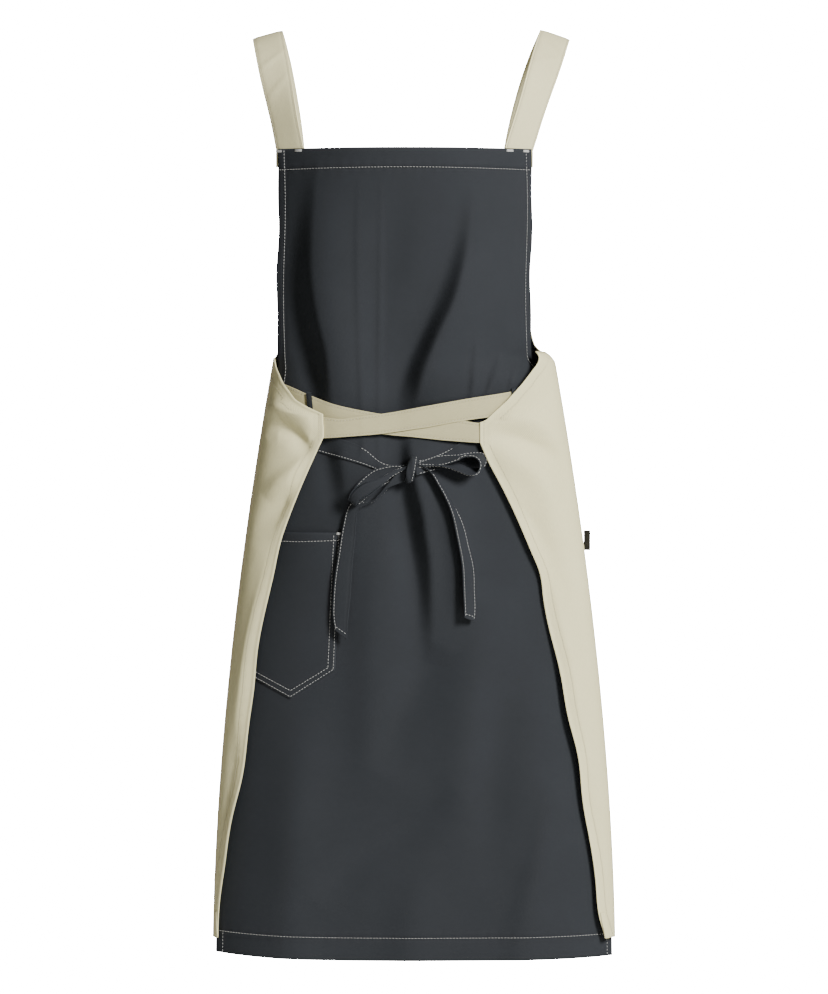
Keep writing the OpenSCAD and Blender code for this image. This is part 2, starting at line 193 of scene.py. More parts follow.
def x_at(rows, h):
    """Where a line of [x, height] rows stands at a height."""
    line = through(rows, np.linspace(0, 1, 400))
    order = np.argsort(line[:, 1])
    return np.interp(h, line[order, 1], line[order, 0])


def fold(x, h, crest, left, right):
    """Height of a fold whose crest is rows of [x, height, rise]: at each point, the rise of the
    nearest place on the crest, times a bell of the distance to it. The bell is `left` wide on
    the crest's left flank and `right` wide on its right, for a crest drawn downwards."""
    line = through(crest, np.linspace(0, 1, 120))
    step = np.gradient(line, axis=0)
    length = np.linalg.norm(step[:, :2], axis=1)
    run, climb = step[:, :2] / length[:, None], step[:, 2] / length
    away = np.stack([x, h], -1).reshape(-1, 1, 2) - line[None, :, :2]
    near = np.argmin((away ** 2).sum(-1), 1)
    away, run = away[np.arange(len(near)), near], run[near]
    along = (away * run).sum(-1)
    across = away[:, 1] * run[:, 0] - away[:, 0] * run[:, 1]
    past = np.maximum(0, np.abs(along) - length.mean())
    rise = line[near, 2] + climb[near] * along * (past == 0)
    width = np.where(across < 0, left, right)
    return (rise * bell(across, width) * bell(past, min(left, right))).reshape(np.shape(x))


# Crests on the dark panel: [x, height, rise], drawn downwards, then the widths of both flanks
PANEL_FOLDS = [
    # the deep fold from the bib's upper right to the waist, and the hollow on its left
    ([[68, 850, 0], [63, 805, 4], [57, 765, 9], [43, 716, 13.5], [30, 689, 15], [20, 665, 15],
      [11, 641, 14], [6, 616, 9], [3, 604, 4], [2, 585, 1]], 10, 44),
    ([[44, 800, 0], [32, 755, -3], [12, 700, -6.5], [-8, 655, -8], [-18, 620, -6],
      [-20, 590, -2]], 28, 11),
    # its run down the skirt's middle
    ([[-3, 590, 1], [-2, 576, 3], [-2, 562, 8], [0, 541, 12], [4, 521, 13], [11, 493, 13.5],
      [15, 465, 13], [18, 446, 12], [20.5, 396, 8.5], [21, 360, 4.5], [20, 325, 0]], 8.5, 36),
    ([[-16, 575, -2], [-14, 530, -4], [-8, 480, -5.5], [-2, 440, -5.5], [3, 395, -3],
      [2, 345, 0]], 18, 8),
    # the fold behind the tie's right end
    ([[28, 528, 0], [37, 496, 4], [45, 450, 5.5], [49, 405, 4], [50, 365, 0]], 10, 24),
    # the long fold inside the bib's left edge, and the hollow on its left
    ([[-104, 880, 0], [-107, 835, 5], [-110, 790, 9], [-110, 750, 11.5], [-104, 706, 13],
      [-94, 664, 13], [-90, 622, 10], [-86, 590, 6], [-80, 560, 7], [-75, 532, 7],
      [-71, 500, 4], [-66, 465, 0]], 11, 42),
    ([[-128, 850, 0], [-132, 790, -2.5], [-132, 740, -4.5], [-124, 695, -5.5], [-113, 650, -5.5],
      [-106, 615, -4], [-100, 575, -3], [-92, 535, -3], [-86, 490, 0]], 14, 11),
    # a hollow between them, and the fall of the bib's right side
    ([[-20, 870, 0], [-24, 800, -1.5], [-30, 740, -2.5], [-38, 690, -2.5], [-42, 640, -2],
      [-44, 600, 0]], 22, 22),
    ([[118, 870, 0], [120, 800, 5], [120, 740, 7], [116, 690, 6.5], [108, 645, 3], [104, 612, 0]],
     34, 16),
    # gathers by the right belt loop
    ([[70, 690, 0], [67, 655, 2.2], [65, 633, 3], [63, 612, 2]], 3.5, 9),
    ([[97, 668, 0], [91, 648, 2.6], [84, 630, 3.2], [79, 616, 2.2]], 3.5, 9),
    ([[119, 664, 0], [113, 648, 2.2], [107, 631, 3], [104, 620, 2]], 3.5, 8),
    # the pressed creases left of the middle
    ([[-36, 880, 0], [-37, 760, 0.7], [-38, 640, 1.2], [-38, 560, 0.8], [-37, 500, 0]], 2.5, 3.5),
    ([[-60, 880, 0], [-62, 780, 0.8], [-60, 690, 1.1], [-57, 600, 1.6], [-56, 562, 1.4],
      [-56, 540, 0]], 3, 10),
    # small creases under the waist straps
    ([[46, 566, 0.8], [52, 548, 1.5], [58, 528, 0]], 5, 8),
    # broad soft folds of the skirt
    ([[20, 350, 0], [10, 325, -4], [-8, 280, -5], [-26, 235, -4], [-34, 205, 0]], 18, 26),
    ([[66, 420, 0], [72, 340, 5], [62, 270, 5.5], [50, 210, 3.5], [44, 150, 0]], 32, 34),
    ([[-34, 480, 0], [-40, 400, 5], [-44, 320, 6], [-44, 250, 5], [-42, 170, 0]], 26, 42),
    ([[100, 340, 0], [92, 270, -3.5], [86, 200, -4.5], [84, 130, -2.5], [84, 80, 0]], 22, 26),
    ([[44, 190, 0], [8, 158, -4.5], [-38, 128, -5.5], [-82, 92, -4], [-106, 66, 0]], 16, 24),
    ([[-118, 280, 0], [-128, 190, 4], [-134, 110, 5], [-138, 30, 3.5], [-140, 0, 3.5]], 26, 28),
    ([[150, 200, 0], [142, 120, 4.5], [126, 60, 4.5], [118, 10, 3], [116, 0, 3]], 18, 28),
    ([[148, 500, 0], [150, 440, 4], [158, 380, 4], [166, 310, 0]], 22, 22),
    ([[10, 120, 0], [4, 70, 3], [-2, 20, 3.5], [-4, 0, 3]], 24, 30),
]


def panel_relief(x, h):
    """Everything that stands up from the plain face: the folds, the belt of the waist straps
    that presses the cloth in, and the flare of the hem band."""
    folds = sum(fold(x, h, *row) for row in PANEL_FOLDS)
    hem_band = 1.2 * smooth((27 - h) / 22) + 0.5 * np.cos(x / 26) * smooth((120 - h) / 120)
    return folds * (1 - 0.45 * bell(h - WAIST_H, 30)) - 3.0 * bell(h - WAIST_H, 24) + hem_band


def hem_rise(x, h):
    """The hem's corners lift a little: by 8 mm on the left and 4 mm on the right, times the cube
    of the share across, fading out 90 mm above the hem."""
    share = x / panel_half(h)
    return np.where(share < 0, 8, 4) * np.abs(share) ** 3 * smooth((90 - h) / 90)


def panel_at(x, h, out=0.0):
    x, h = np.broadcast_arrays(np.asarray(x, float), h)
    return np.stack([x, panel_y(x, h) - panel_relief(x, h) - out, h + 0 * x], -1)


def hem_at(x, h):
    points = panel_at(x, h)
    points[..., 2] += hem_rise(*np.broadcast_arrays(np.asarray(x, float), h))
    return points


print("the bib's fold at 676 mm, mm:", panel_relief(np.array([22.0]), np.array([676.0])).round(1))

# %% [markdown]
# ## Cloth, thread and dye
#
# Both cloths are cotton and polyester twill: every weft thread passes over two warp threads and
# shifts by one each row, which draws fine diagonal ribs. The yarn scatters light, so the cloth
# is matt with a soft sheen at glancing angles. The pattern reads a UV map in metres that follows
# the cut cloth, so that the ribs bend with the folds.

# %% Colours and node helper


def linear(code):
    """An sRGB hex colour as the linear colour that a shader takes."""
    c = np.array([int(code[i:i + 2], 16) for i in (1, 3, 5)]) / 255
    return (*np.where(c <= 0.04045, c / 12.92, ((c + 0.055) / 1.055) ** 2.4), 1.0)


def emptied(owner):
    """The node tree of a material or a world, with nothing in it."""
    owner.use_nodes = True
    owner.node_tree.nodes.clear()
    return owner.node_tree


def add(tree, kind, settings=None, links=None, values=None, **inputs):
    """Adds one node with its settings, its links and its input values. A socket whose name isn't
    its own is given by number, in `values`."""
    node = tree.nodes.new(kind)
    for key, value in (settings or {}).items():
        setattr(node, key, value)
    for key, value in inputs.items():
        node.inputs[key.replace("_", " ")].default_value = value
    for key, value in (values or {}).items():
        node.inputs[key].default_value = value
    for key, source in (links or {}).items():
        tree.links.new(source, node.inputs[key])
    return node


# %% Woven cloth
WAVE_UNIT = 2 * np.pi / 10               # the scale at which a wave node repeats once a metre
TWILL_TURN = np.radians(18)              # steepens the diagonal of the ribs
PLY = 0.0006                             # metres from ply to ply along the thread


def twill(name, deep, pale, rib, sheen, roughness, cool):
    """Twill from two close dye shades. Three scales of detail: ribs `rib` mm apart, slubs in
    the yarn a few millimetres long, and slow drift of the dye over a hand's width. The attribute
    named edge paints light into the colour: paler for a painted highlight, deeper for painted
    shade."""
    made = bpy.data.materials.new(name)
    tree = emptied(made)
    uv = add(tree, "ShaderNodeTexCoord")
    turned = add(tree, "ShaderNodeMapping", links={"Vector": uv.outputs["UV"]},
                 Rotation=(0, 0, TWILL_TURN))
    ribs = add(tree, "ShaderNodeTexWave", {"bands_direction": "DIAGONAL"},
               {"Vector": turned.outputs[0]}, Scale=WAVE_UNIT / (rib / 1000),
               Distortion=0.6, Detail=1.0, Detail_Scale=1.5)
    across = add(tree, "ShaderNodeMapping", links={"Vector": uv.outputs["UV"]},
                 Scale=(1100, 180, 1))
    slubs = add(tree, "ShaderNodeTexNoise", links={"Vector": across.outputs[0]},
                Scale=1.0, Detail=3.0, Roughness=0.6)
    drift = add(tree, "ShaderNodeTexNoise", links={"Vector": uv.outputs["UV"]},
                Scale=14.0, Detail=4.0, Roughness=0.55)
    # the attribute named edge carries painted light: a painted highlight along folded edges and
    # painted shade in seams
    painted_light = add(tree, "ShaderNodeAttribute", {"attribute_name": "edge"})
    dye = add(tree, "ShaderNodeMix", {"data_type": "RGBA"}, {"Factor": drift.outputs["Fac"]},
              {6: linear(deep), 7: linear(pale)})
    tone = add(tree, "ShaderNodeMath", {"operation": "MULTIPLY_ADD"},
               {0: slubs.outputs["Fac"]}, {1: 0.22, 2: 0.79})
    ribbed = add(tree, "ShaderNodeMath", {"operation": "MULTIPLY_ADD"},
                 {0: ribs.outputs["Fac"], 2: tone.outputs[0]}, {1: 0.16})
    lit = add(tree, "ShaderNodeMath", {"operation": "MULTIPLY_ADD"},
              {0: painted_light.outputs["Fac"], 2: ribbed.outputs[0]}, {1: 0.30})
    shade = add(tree, "ShaderNodeMix", {"data_type": "RGBA", "blend_type": "MULTIPLY"},
                {6: dye.outputs[2], 7: lit.outputs[0]}, Factor=1.0)
    height = add(tree, "ShaderNodeMath", {"operation": "ADD"},
                 {0: ribs.outputs["Fac"], 1: slubs.outputs["Fac"]})
    bump = add(tree, "ShaderNodeBump", links={"Height": height.outputs[0]},
               Strength=0.32, Distance=0.00035)
    rough = add(tree, "ShaderNodeMapRange", links={"Value": slubs.outputs["Fac"]},
                To_Min=roughness - 0.06, To_Max=roughness + 0.06)
    body = add(tree, "ShaderNodeBsdfPrincipled",
               links={"Base Color": shade.outputs[2], "Roughness": rough.outputs[0],
                      "Normal": bump.outputs[0]},
               Sheen_Weight=sheen, Sheen_Roughness=0.45, Sheen_Tint=linear(cool), IOR=1.46,
               Specular_IOR_Level=0.2)
    add(tree, "ShaderNodeOutputMaterial", links={"Surface": body.outputs[0]})
    return made


# Real ribs are about 0.5 mm apart; they are drawn 1.4 mm apart, so that they can show.
DARK = twill("charcoal_cotton_twill", "#232527", "#292b2e", 1.4, 0.04, 0.80, "#c8d2e6")
LIGHT = twill("stone_cotton_twill", "#d6ce9c", "#e1d9aa", 1.4, 0.04, 0.86, "#fff8e6")
WEBBING = twill("stone_twill_tape", "#d6ce9e", "#e1d9ac", 1.1, 0.04, 0.84, "#fff8e6")
# the same stone tape with a deeper dye: painted shade for the waist straps, which face down
SHADED_WAIST_TAPE = twill("stone_tape_painted_shade", "#b0a87e", "#bbb38a", 1.1, 0.04, 0.84, "#fff8e6")
RIBBON = twill("black_woven_label_ribbon", "#121315", "#1d1e21", 0.8, 0.25, 0.55, "#ffffff")
print("cloths:", [m.name for m in (DARK, LIGHT, WEBBING, SHADED_WAIST_TAPE, RIBBON)])

# %% Spun polyester sewing thread


def thread_material(name, code, roughness):
    """Two-ply thread: a pale strand whose plies wind round it, drawn as a slanted wave."""
    made = bpy.data.materials.new(name)
    tree = emptied(made)
    place = add(tree, "ShaderNodeTexCoord")
    plies = add(tree, "ShaderNodeTexWave", {"bands_direction": "DIAGONAL"},
                {"Vector": place.outputs["Object"]}, Scale=WAVE_UNIT / PLY)
    light = linear(code)
    shade = add(tree, "ShaderNodeMix", {"data_type": "RGBA"}, {"Factor": plies.outputs["Fac"]},
                {6: (*[c * 0.72 for c in light[:3]], 1), 7: light})
    bump = add(tree, "ShaderNodeBump", links={"Height": plies.outputs["Fac"]},
               Strength=0.4, Distance=0.0002)
    body = add(tree, "ShaderNodeBsdfPrincipled",
               links={"Base Color": shade.outputs[2], "Normal": bump.outputs[0]},
               Roughness=roughness, Sheen_Weight=0.1)
    add(tree, "ShaderNodeOutputMaterial", links={"Surface": body.outputs[0]})
    return made


WHITE_THREAD = thread_material("off_white_polyester_thread", "#bdbcb6", 0.5)
STONE_THREAD = thread_material("stone_polyester_thread", "#d3cca8", 0.55)
print("threads:", WHITE_THREAD.name, STONE_THREAD.name)

# %% [markdown]
# ## From a grid of points to a piece of cloth
#
# A piece is a grid of points: rows run up it, columns across. Its faces join neighbours in the
# grid, a Solidify modifier gives it the thickness of the cloth on the inner side, and the UV map
# holds the cut's own measures. An attribute named edge paints light into the colour: 1 along
# folded edges for a painted highlight, and below 0 for painted shade in a seam.

# %% Grid to mesh
DARK_SLOT, LIGHT_SLOT, THREAD_SLOT = "dark_twill", "light_twill", "thread"
DARK_T, LIGHT_T, POCKET_T, TIE_T = 1.5, 1.4, 1.2, 0.9    # thickness of the pieces, in mm


def quads_of(rows, cols):
    i = np.arange(rows * cols).reshape(rows, cols)
    return np.stack([i[:-1, :-1], i[:-1, 1:], i[1:, 1:], i[1:, :-1]], -1).reshape(-1, 4)


def new_mesh(name, points, quads, material):
    mesh = bpy.data.meshes.new(name)
    mesh.from_pydata(points.tolist(), [], quads.tolist())
    mesh.materials.append(material)
    mesh.polygons.foreach_set("use_smooth", np.ones(len(mesh.polygons), bool))
    mesh.update()
    piece = bpy.data.objects.new(name, mesh)
    bpy.context.scene.collection.objects.link(piece)
    return piece


def cloth(name, grid, material, thick, facing, edge=None):
    """A cloth piece from its outer face as a (rows, columns, 3) grid in mm. Faces are turned to
    look along `facing`. The UV map is the distance along the middle row and up each column."""
    rows, cols = grid.shape[:2]
    quads = quads_of(rows, cols)
    p = placed(grid).reshape(-1, 3)
    normal = np.cross(p[quads[:, 1]] - p[quads[:, 0]], p[quads[:, 3]] - p[quads[:, 0]])
    if (normal @ np.array(facing, float)).sum() < 0:
        quads = quads[:, ::-1]
    piece = new_mesh(name, p, quads, material)
    across = np.linalg.norm(np.diff(grid, axis=1), axis=2).mean(0)
    upward = np.linalg.norm(np.diff(grid, axis=0), axis=2).mean(1)
    u, v = np.meshgrid(np.r_[0, np.cumsum(across)], np.r_[0, np.cumsum(upward)])
    uv = np.stack([u, v], -1).reshape(-1, 2) / 1000
    layer = piece.data.uv_layers.new(name="cut")
    layer.data.foreach_set("uv", uv[quads.ravel()].astype(np.float32).ravel())
    # per-point painted highlight and painted shade, read by the cloth's shader
    painted_light = piece.data.attributes.new("edge", "FLOAT", "POINT")
    values = np.zeros((rows, cols)) if edge is None else np.broadcast_to(edge, (rows, cols))
    painted_light.data.foreach_set("value", values.astype(np.float32).ravel())
    wall = piece.modifiers.new("cloth thickness", "SOLIDIFY")
    wall.thickness, wall.offset, wall.use_rim = thick / 1000, -1, True
    return piece


def put(piece, slot, *nodes, body="apron"):
    """Hides the model's nodes that a piece stands for and hangs it on the body it rides on. The
    slot is not used.
    """
    if nodes:
        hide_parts(*nodes)
    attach(piece, body)


def area_of(grid):
    """Area of a grid in square metres, which for a plain, unfolded grid is its flat cut."""
    a, b = np.diff(grid, axis=1)[:-1], np.diff(grid, axis=0)[:, :-1]
    return float(np.linalg.norm(np.cross(a, b), axis=-1).sum()) / 1e6


def spaced(low, high, step, *fine):
    """Even steps from low to high, with extra rows 1 and 3 mm either side of each seam."""
    extra = [f + d for f in fine for d in (-3, -1.2, 0, 1.2, 3)]
    rows = np.unique(np.r_[np.linspace(low, high, int((high - low) / step) + 1), extra])
    rows = rows[(rows >= low) & (rows <= high)]
    return rows[np.r_[True, np.diff(rows) > 0.5]]


# %% [markdown]
# ## Stitches
#
# A lockstitch shows as a row of short strands, each diving into the cloth at both ends. One
# stitch is a four-sided strand of four segments, and a seam repeats it along its line. A real
# stitch is about 2.5 mm long and 0.3 mm thick; it is drawn twice as thick so that it shows.

# %% Rows of stitches
WHITE_SEAMS, STONE_SEAMS = [], []
STITCH_R, TACK_R = 0.30, 0.42            # radius of the drawn thread in seams and in tacks


def seam(surface, a, b, facing, lift=0.0):
    """A line on a surface of two parameters: its points, and the normals there, which are the
    cross products of small steps along both parameters, turned towards `facing`."""
    a, b = np.broadcast_arrays(np.asarray(a, float), np.asarray(b, float))
    p = surface(a, b)
    n = unit(np.cross(surface(a + 1e-3, b) - p, surface(a, b + 1e-3) - p))
    n *= np.sign(n @ np.array(facing, float))[..., None]
    return p + n * lift, n


def both_faces(surface, a, b):
    """The same line of stitches on the outer and the inner face of the tie."""
    return [seam(surface, a, b, FRONT, lift) for lift in (0.15, -0.15 - TIE_T)]


def stitched(name, seams, material, radius, length=2.6, gap=0.9):
    """One object with every stitch of these seams. Ring k of a stitch stands at a fixed share
    of its length, and its four corners are radius times the normal and the cross direction."""
    share = np.array([0, 0.18, 0.5, 0.82, 1])
    girth = np.array([0.35, 0.9, 1, 0.9, 0.35]) * radius
    lift = np.array([-0.5, 0.35, 0.6, 0.35, -0.5]) * radius
    verts, faces, count = [], [], 0
    for points, normals in seams:
        s = np.r_[0, np.cumsum(np.linalg.norm(np.diff(points, axis=0), axis=1))]
        number = max(1, int(s[-1] / (length + gap)))
        start = (np.arange(number) + 0.12) * s[-1] / number
        at = start[:, None] + share * length
        mid, up = taken(at, s, points), taken(at, s, normals)
        cross = np.cross(unit(taken(at + 0.5, s, points) - taken(at - 0.5, s, points)), up)
        mid = mid + up * lift[:, None]
        ring = np.stack([up, cross, -up, -cross], 2) * girth[:, None, None]
        verts.append((mid[:, :, None] + ring).reshape(-1, 3))
        i = np.arange(4)
        side = np.stack([i, i + 4, (i + 1) % 4 + 4, (i + 1) % 4], -1)
        one = np.r_[np.concatenate([side + 4 * k for k in range(4)]), [i], [i[::-1] + 16]]
        faces.append((one[None] + 20 * np.arange(number)[:, None, None]).reshape(-1, 4) + count)
        count += 20 * number
    piece = new_mesh(name, placed(np.concatenate(verts)), np.concatenate(faces), material)
    print(name, "has", count // 20, "stitches")
    return piece


# %% [markdown]
# ## The dark panel
#
# Bib and skirt are one cut of charcoal twill, hemmed all round. It could be draped by a cloth
# simulation, but the folds of this apron are set by where its straps and tie pull, so they are
# drawn as crests and added to the plain curve of the cloth.

# %% Bib and skirt
BIB_HEM, SKIRT_HEM, SIDE_HEM = 22.0, 25.0, 8.5


def hem_edges(distance, depth):
    """Relief of a turned hem: raised by the turned layer up to its stitching, and pulled in by
    the stitches there."""
    return 0.55 * smooth((depth - distance + 1) / 2) - 0.6 * bell(distance - depth, 1.8)


def hem_highlight_and_shade(distance, depth, width):
    """Painted highlight along a hem's folded edge, and painted shade in its seam."""
    return 0.5 * bell(distance, width) - 0.5 * bell(distance - depth, 2)


def dark_grid(with_folds):
    """The panel's points, plain for its flat area or with all that stands up from it."""
    h = spaced(0, BIB_TOP, 3.4, SKIRT_HEM, BIB_TOP - BIB_HEM)[:, None]
    u = np.linspace(-1, 1, 133)
    s = 0.7 * u + 0.3 * np.sin(np.pi / 2 * u)
    x = panel_mid(h) + (panel_half(h) - 0.6) * s
    h = h + 0 * x
    if not with_folds:
        return np.stack([x, panel_y(x, h), h], -1)
    bib = smooth((h - 655) / 30)       # 1 where the side edges are free, above the wings
    edge = panel_half(h) - np.abs(x - panel_mid(h))
    wave = bib * (1.1 * np.sin(h / 31) + 0.7 * np.sin(h / 13.7)) * bell(edge, 25)
    relief = (hem_edges(BIB_TOP - h, BIB_HEM) + hem_edges(h, SKIRT_HEM)
              + bib * hem_edges(edge, SIDE_HEM))
    pucker = 0.22 * np.sin(x / 1.9 + 2 * np.sin(x / 31)) * (
        bell(BIB_TOP - BIB_HEM - h, 7) + bell(h - SKIRT_HEM, 8))
    made = panel_at(x + wave, h)
    made[..., 1] -= relief + pucker
    made[..., 2] += hem_rise(x, h)
    return made


dark = dark_grid(True)
h_rows = dark[..., 2]
# painted highlight along both hems' folded edges and painted shade in their seams
painted_light = hem_highlight_and_shade(BIB_TOP - h_rows, BIB_HEM, 1.6) + hem_highlight_and_shade(h_rows, SKIRT_HEM, 1.6)
dark_panel = cloth("dark_panel", dark, DARK, DARK_T, FRONT, painted_light)
area_of(dark_grid(False))
put(dark_panel, DARK_SLOT, "front_panel")
print("dark panel:", dark.shape, "flat area", round(area_of(dark_grid(False)), 3), "m2")

# %% Its seams
across = np.linspace(-BIB_W / 2 - BIB_SHIFT + 2, BIB_W / 2 - BIB_SHIFT - 2, 160)
WHITE_SEAMS.append(seam(panel_at, across, BIB_TOP - BIB_HEM + 1.2 * bell(across + 10, 90) - 1,
                        FRONT, 0.3))
across = np.linspace(-214, 214, 240)
WHITE_SEAMS.append(seam(hem_at, across, SKIRT_HEM, FRONT, 0.4))
for side, inset in ((-1, SIDE_HEM), (1, SIDE_HEM - 2)):
    up = np.linspace(612, BIB_TOP - 1, 180)
    line = panel_mid(up) + side * (panel_half(up) - inset) + 1.1 * np.sin(up / 31)
    WHITE_SEAMS.append(seam(panel_at, line, up, FRONT, 0.5))
    low = np.linspace(1, 24, 14)
    WHITE_SEAMS.append(seam(hem_at, side * (panel_half(low) - inset), low, FRONT, 0.3))
print("seams so far:", len(WHITE_SEAMS))

# %% [markdown]
# ## The pocket on the dark panel
#
# A patch pocket with a pointed lower edge, sewn on with two rows of stitches. It follows the
# panel's folds, a cloth's thickness proud of it, and its mouth stands a little open.

# %% Patch pocket
MOUTH_L, MOUTH_R = np.array([-174, 469.0]), np.array([-79.5, 468.5])
LOW_L, POINT, LOW_R = np.array([-180, 311.0]), np.array([-135.5, 286.5]), np.array([-86, 318.5])


def pocket_xh(u, v):
    """Shares across and up the pocket to x and height: the lower edge runs from its left end
    to the point and on to its right end, and straight lines join it to the mouth."""
    t = np.clip(u * 2, 0, 2)[..., None]
    low = np.where(t < 1, mix(LOW_L, POINT, t), mix(POINT, LOW_R, t - 1))
    top = mix(MOUTH_L, MOUTH_R, u[..., None])
    spot = mix(low, top, v[..., None])
    return spot[..., 0], spot[..., 1]


def pocket_at(u, v):
    u, v = np.broadcast_arrays(np.asarray(u, float), v)
    x, h = pocket_xh(u, v)
    open_ = 3.6 * np.sin(np.pi * np.clip((u - 0.25) / 0.72, 0, 1)) * np.clip(v, 0, 1) ** 3
    rim = 0.5 * bell(np.minimum(1 - u, v * 1.5), 0.02)
    hem = 0.5 * smooth((v - 0.93) / 0.02) - 0.35 * bell(v - 0.945, 0.008)
    return panel_at(x, h, DARK_T + open_ - rim + hem)


u = np.linspace(0, 1, 64)[None, :]
v = np.unique(np.r_[np.linspace(0, 1, 84), 0.93, 0.945, 0.955])[:, None]
pocket = pocket_at(u, v)
# painted highlight along the pocket's mouth, its right edge and its lower edge
painted_light = 0.6 * bell(v - 1, 0.01) + 0.5 * bell(u - 1, 0.015) + 0.4 * bell(v, 0.01) + 0 * u * v
dark_pocket = cloth("dark_pocket", pocket, DARK, POCKET_T, FRONT, painted_light)
put(dark_pocket, DARK_SLOT, "front_pocket")
t = np.linspace(0, 1, 90)
for inset in (0.025, 0.085):
    low = inset * 0.6
    WHITE_SEAMS.append(seam(pocket_at, 1 - inset, mix(low, 0.985, t), FRONT, 0.2))
    WHITE_SEAMS.append(seam(pocket_at, mix(0, 1 - inset, t), low, FRONT, 0.2))
WHITE_SEAMS.append(seam(pocket_at, t * 0.985, 0.945, FRONT, 0.3))
print("pocket:", pocket.shape)

# %% [markdown]
# ## The light cloth
#
# The stone-coloured panel goes round the back and its wings come forward over the dark panel,
# where their corners hold the waist straps. Its outline is a rounded rectangle at each height;
# the wings' inner edges follow lines through a few measured knots.

# %% The wings' inner edges, as [distance from the middle, height]
LEFT_LOW = [[217, 10], [217, 24], [214, 65], [206.5, 109], [198, 153], [189, 198], [183, 242],
            [178, 286], [173, 329], [163.5, 373], [154.5, 417], [144.5, 461], [129, 504],
            [110, 548], [98.4, 573]]
LEFT_TOP = [[99, 598], [116, 606], [129.5, 614], [143.5, 633], [151.5, 650], [154, 661]]
RIGHT_LOW = [[210, 10], [208.5, 24], [203.5, 46], [200, 88], [193, 132], [185, 176], [178, 220],
             [168.5, 264], [161, 308], [151.5, 351], [142.5, 395], [137.3, 423], [127.2, 448],
             [114, 480], [97.2, 515], [79.3, 549], [71.5, 567]]
RIGHT_TOP = [[71.5, 589], [78, 591], [84, 597], [101, 612.6], [118, 631.4], [135, 653.5],
             [143, 667.5]]
WINGS = {-1: (LEFT_LOW, LEFT_TOP), 1: (RIGHT_LOW, RIGHT_TOP)}


def wing_x(side, h):
    """How far from the middle a wing's inner edge stands: its lower line, its upper line, and
    the short upright corner between the two. A slow wave loosens the lower line."""
    low, top = WINGS[side]
    split = (low[-1][1] + top[0][1]) / 2
    corner = np.where(h < split, low[-1][0], top[0][0])
    lower = x_at(low, np.minimum(h, low[-1][1]))
    upper = np.interp(h, [r[1] for r in top], [r[0] for r in top])
    out = np.where(h < low[-1][1], lower, np.where(h > top[0][1], upper, corner))
    return out + 0.8 * np.sin(h / 17 + side) * smooth((500 - h) / 60) * bell(h - 250, 260)


# Crests on the wings: [distance from the middle, height, rise], drawn outwards from the corner
WING_FOLDS = {
    -1: [([[100, 584, 0], [112, 592, 3.5], [130, 603, 5.5], [148, 606, 4.5], [162, 594, 0]], 8, 11),
         ([[103, 566, 0], [118, 563, -4], [134, 577, -6], [150, 584, -4], [164, 574, 0]], 8, 9),
         ([[106, 550, 0], [124, 538, 5], [142, 526, 5.5], [164, 508, 0]], 10, 12),
         ([[124, 520, 0], [142, 502, -4], [160, 484, -4], [176, 452, 0]], 12, 15),
         ([[148, 450, 0], [166, 380, 4.5], [184, 300, 4.5], [196, 220, 0]], 12, 14),
         ([[194, 270, 0], [203, 180, -3], [211, 100, -3], [215, 40, 0]], 9, 10)],
    1: [([[78, 592, 0], [100, 594, 3], [124, 592, 4], [146, 582, 3], [162, 560, 0]], 8, 10),
        ([[80, 574, 0], [106, 573, -3.4], [139, 562, -4.6], [158, 548, -4], [166, 522, -2],
          [167, 496, 0]], 8, 12),
        ([[84, 558, 0], [108, 548, 4], [132, 530, 4.6], [150, 500, 3], [160, 460, 0]], 12, 15),
        ([[110, 504, 0], [130, 480, -2.8], [150, 445, -3.2], [164, 395, 0]], 11, 14),
        ([[146, 430, 0], [160, 350, 3.6], [174, 270, 3.6], [186, 190, 0]], 12, 15),
        ([[176, 270, 0], [186, 190, -2.6], [198, 110, -2.6], [206, 40, 0]], 8, 10)],
}
MERGE_A = 7.5          # the wings reach a little past the side seam, under the back's edge
WING_HEM = 9.5         # width of the hem along the wings' inner edges


def shoulder_in(h):
    """How far the right wing's corner under the arm rounds inwards, in its last 18 mm."""
    return 11 * np.clip((h - 650) / 18, 0, 1) ** 3


def wing_relief(side, x, h, inwards):
    """Folds that fan out from the corner, the turned edge, and puckers along its seam."""
    folds = sum(fold(np.abs(x), h, crest, far, near)
                for crest, near, far in WING_FOLDS[side]) * smooth((inwards - 1) / 14)
    edge = 0.5 * bell(inwards - 1.4, 1.6) - 0.2 * bell(inwards - WING_HEM, 1.8)
    pucker = 0.16 * np.sin(h / 2.3 + 2 * np.sin(h / 37)) * bell(inwards - WING_HEM, 5)
    flutes = 1.5 * np.sin(h / 41 + 2 * side) * bell(inwards, 20) * smooth((480 - h) / 120)
    return folds + edge + pucker + flutes


def wing_point(side, a, h):
    """A wing's points at angle a and height h, and how far each is from the inner edge."""
    plain = wrap_at(a, h)
    up = np.linspace(0, 670, 336)
    slope = np.interp(h, up, np.gradient(wing_x(side, up), up))
    inwards = (plain[..., 0] - wing_x(side, h)) / np.sqrt(1 + slope ** 2)
    tuck = 0.9 * smooth((a - SEAM_A + 0.8) / 0.8)
    made = wrap_at(a, h, wing_relief(side, plain[..., 0], h, inwards) * smooth(-a / 14) - tuck)
    if side > 0:
        made[..., 0] -= shoulder_in(h)
    made[..., 0] *= side
    return made, inwards


def wing_at(side):
    """The wing as a surface of x and height, for seams."""
    return lambda x, h: wing_point(side, -wrap_angle(x, h, FRONT_ROUND), h)[0]


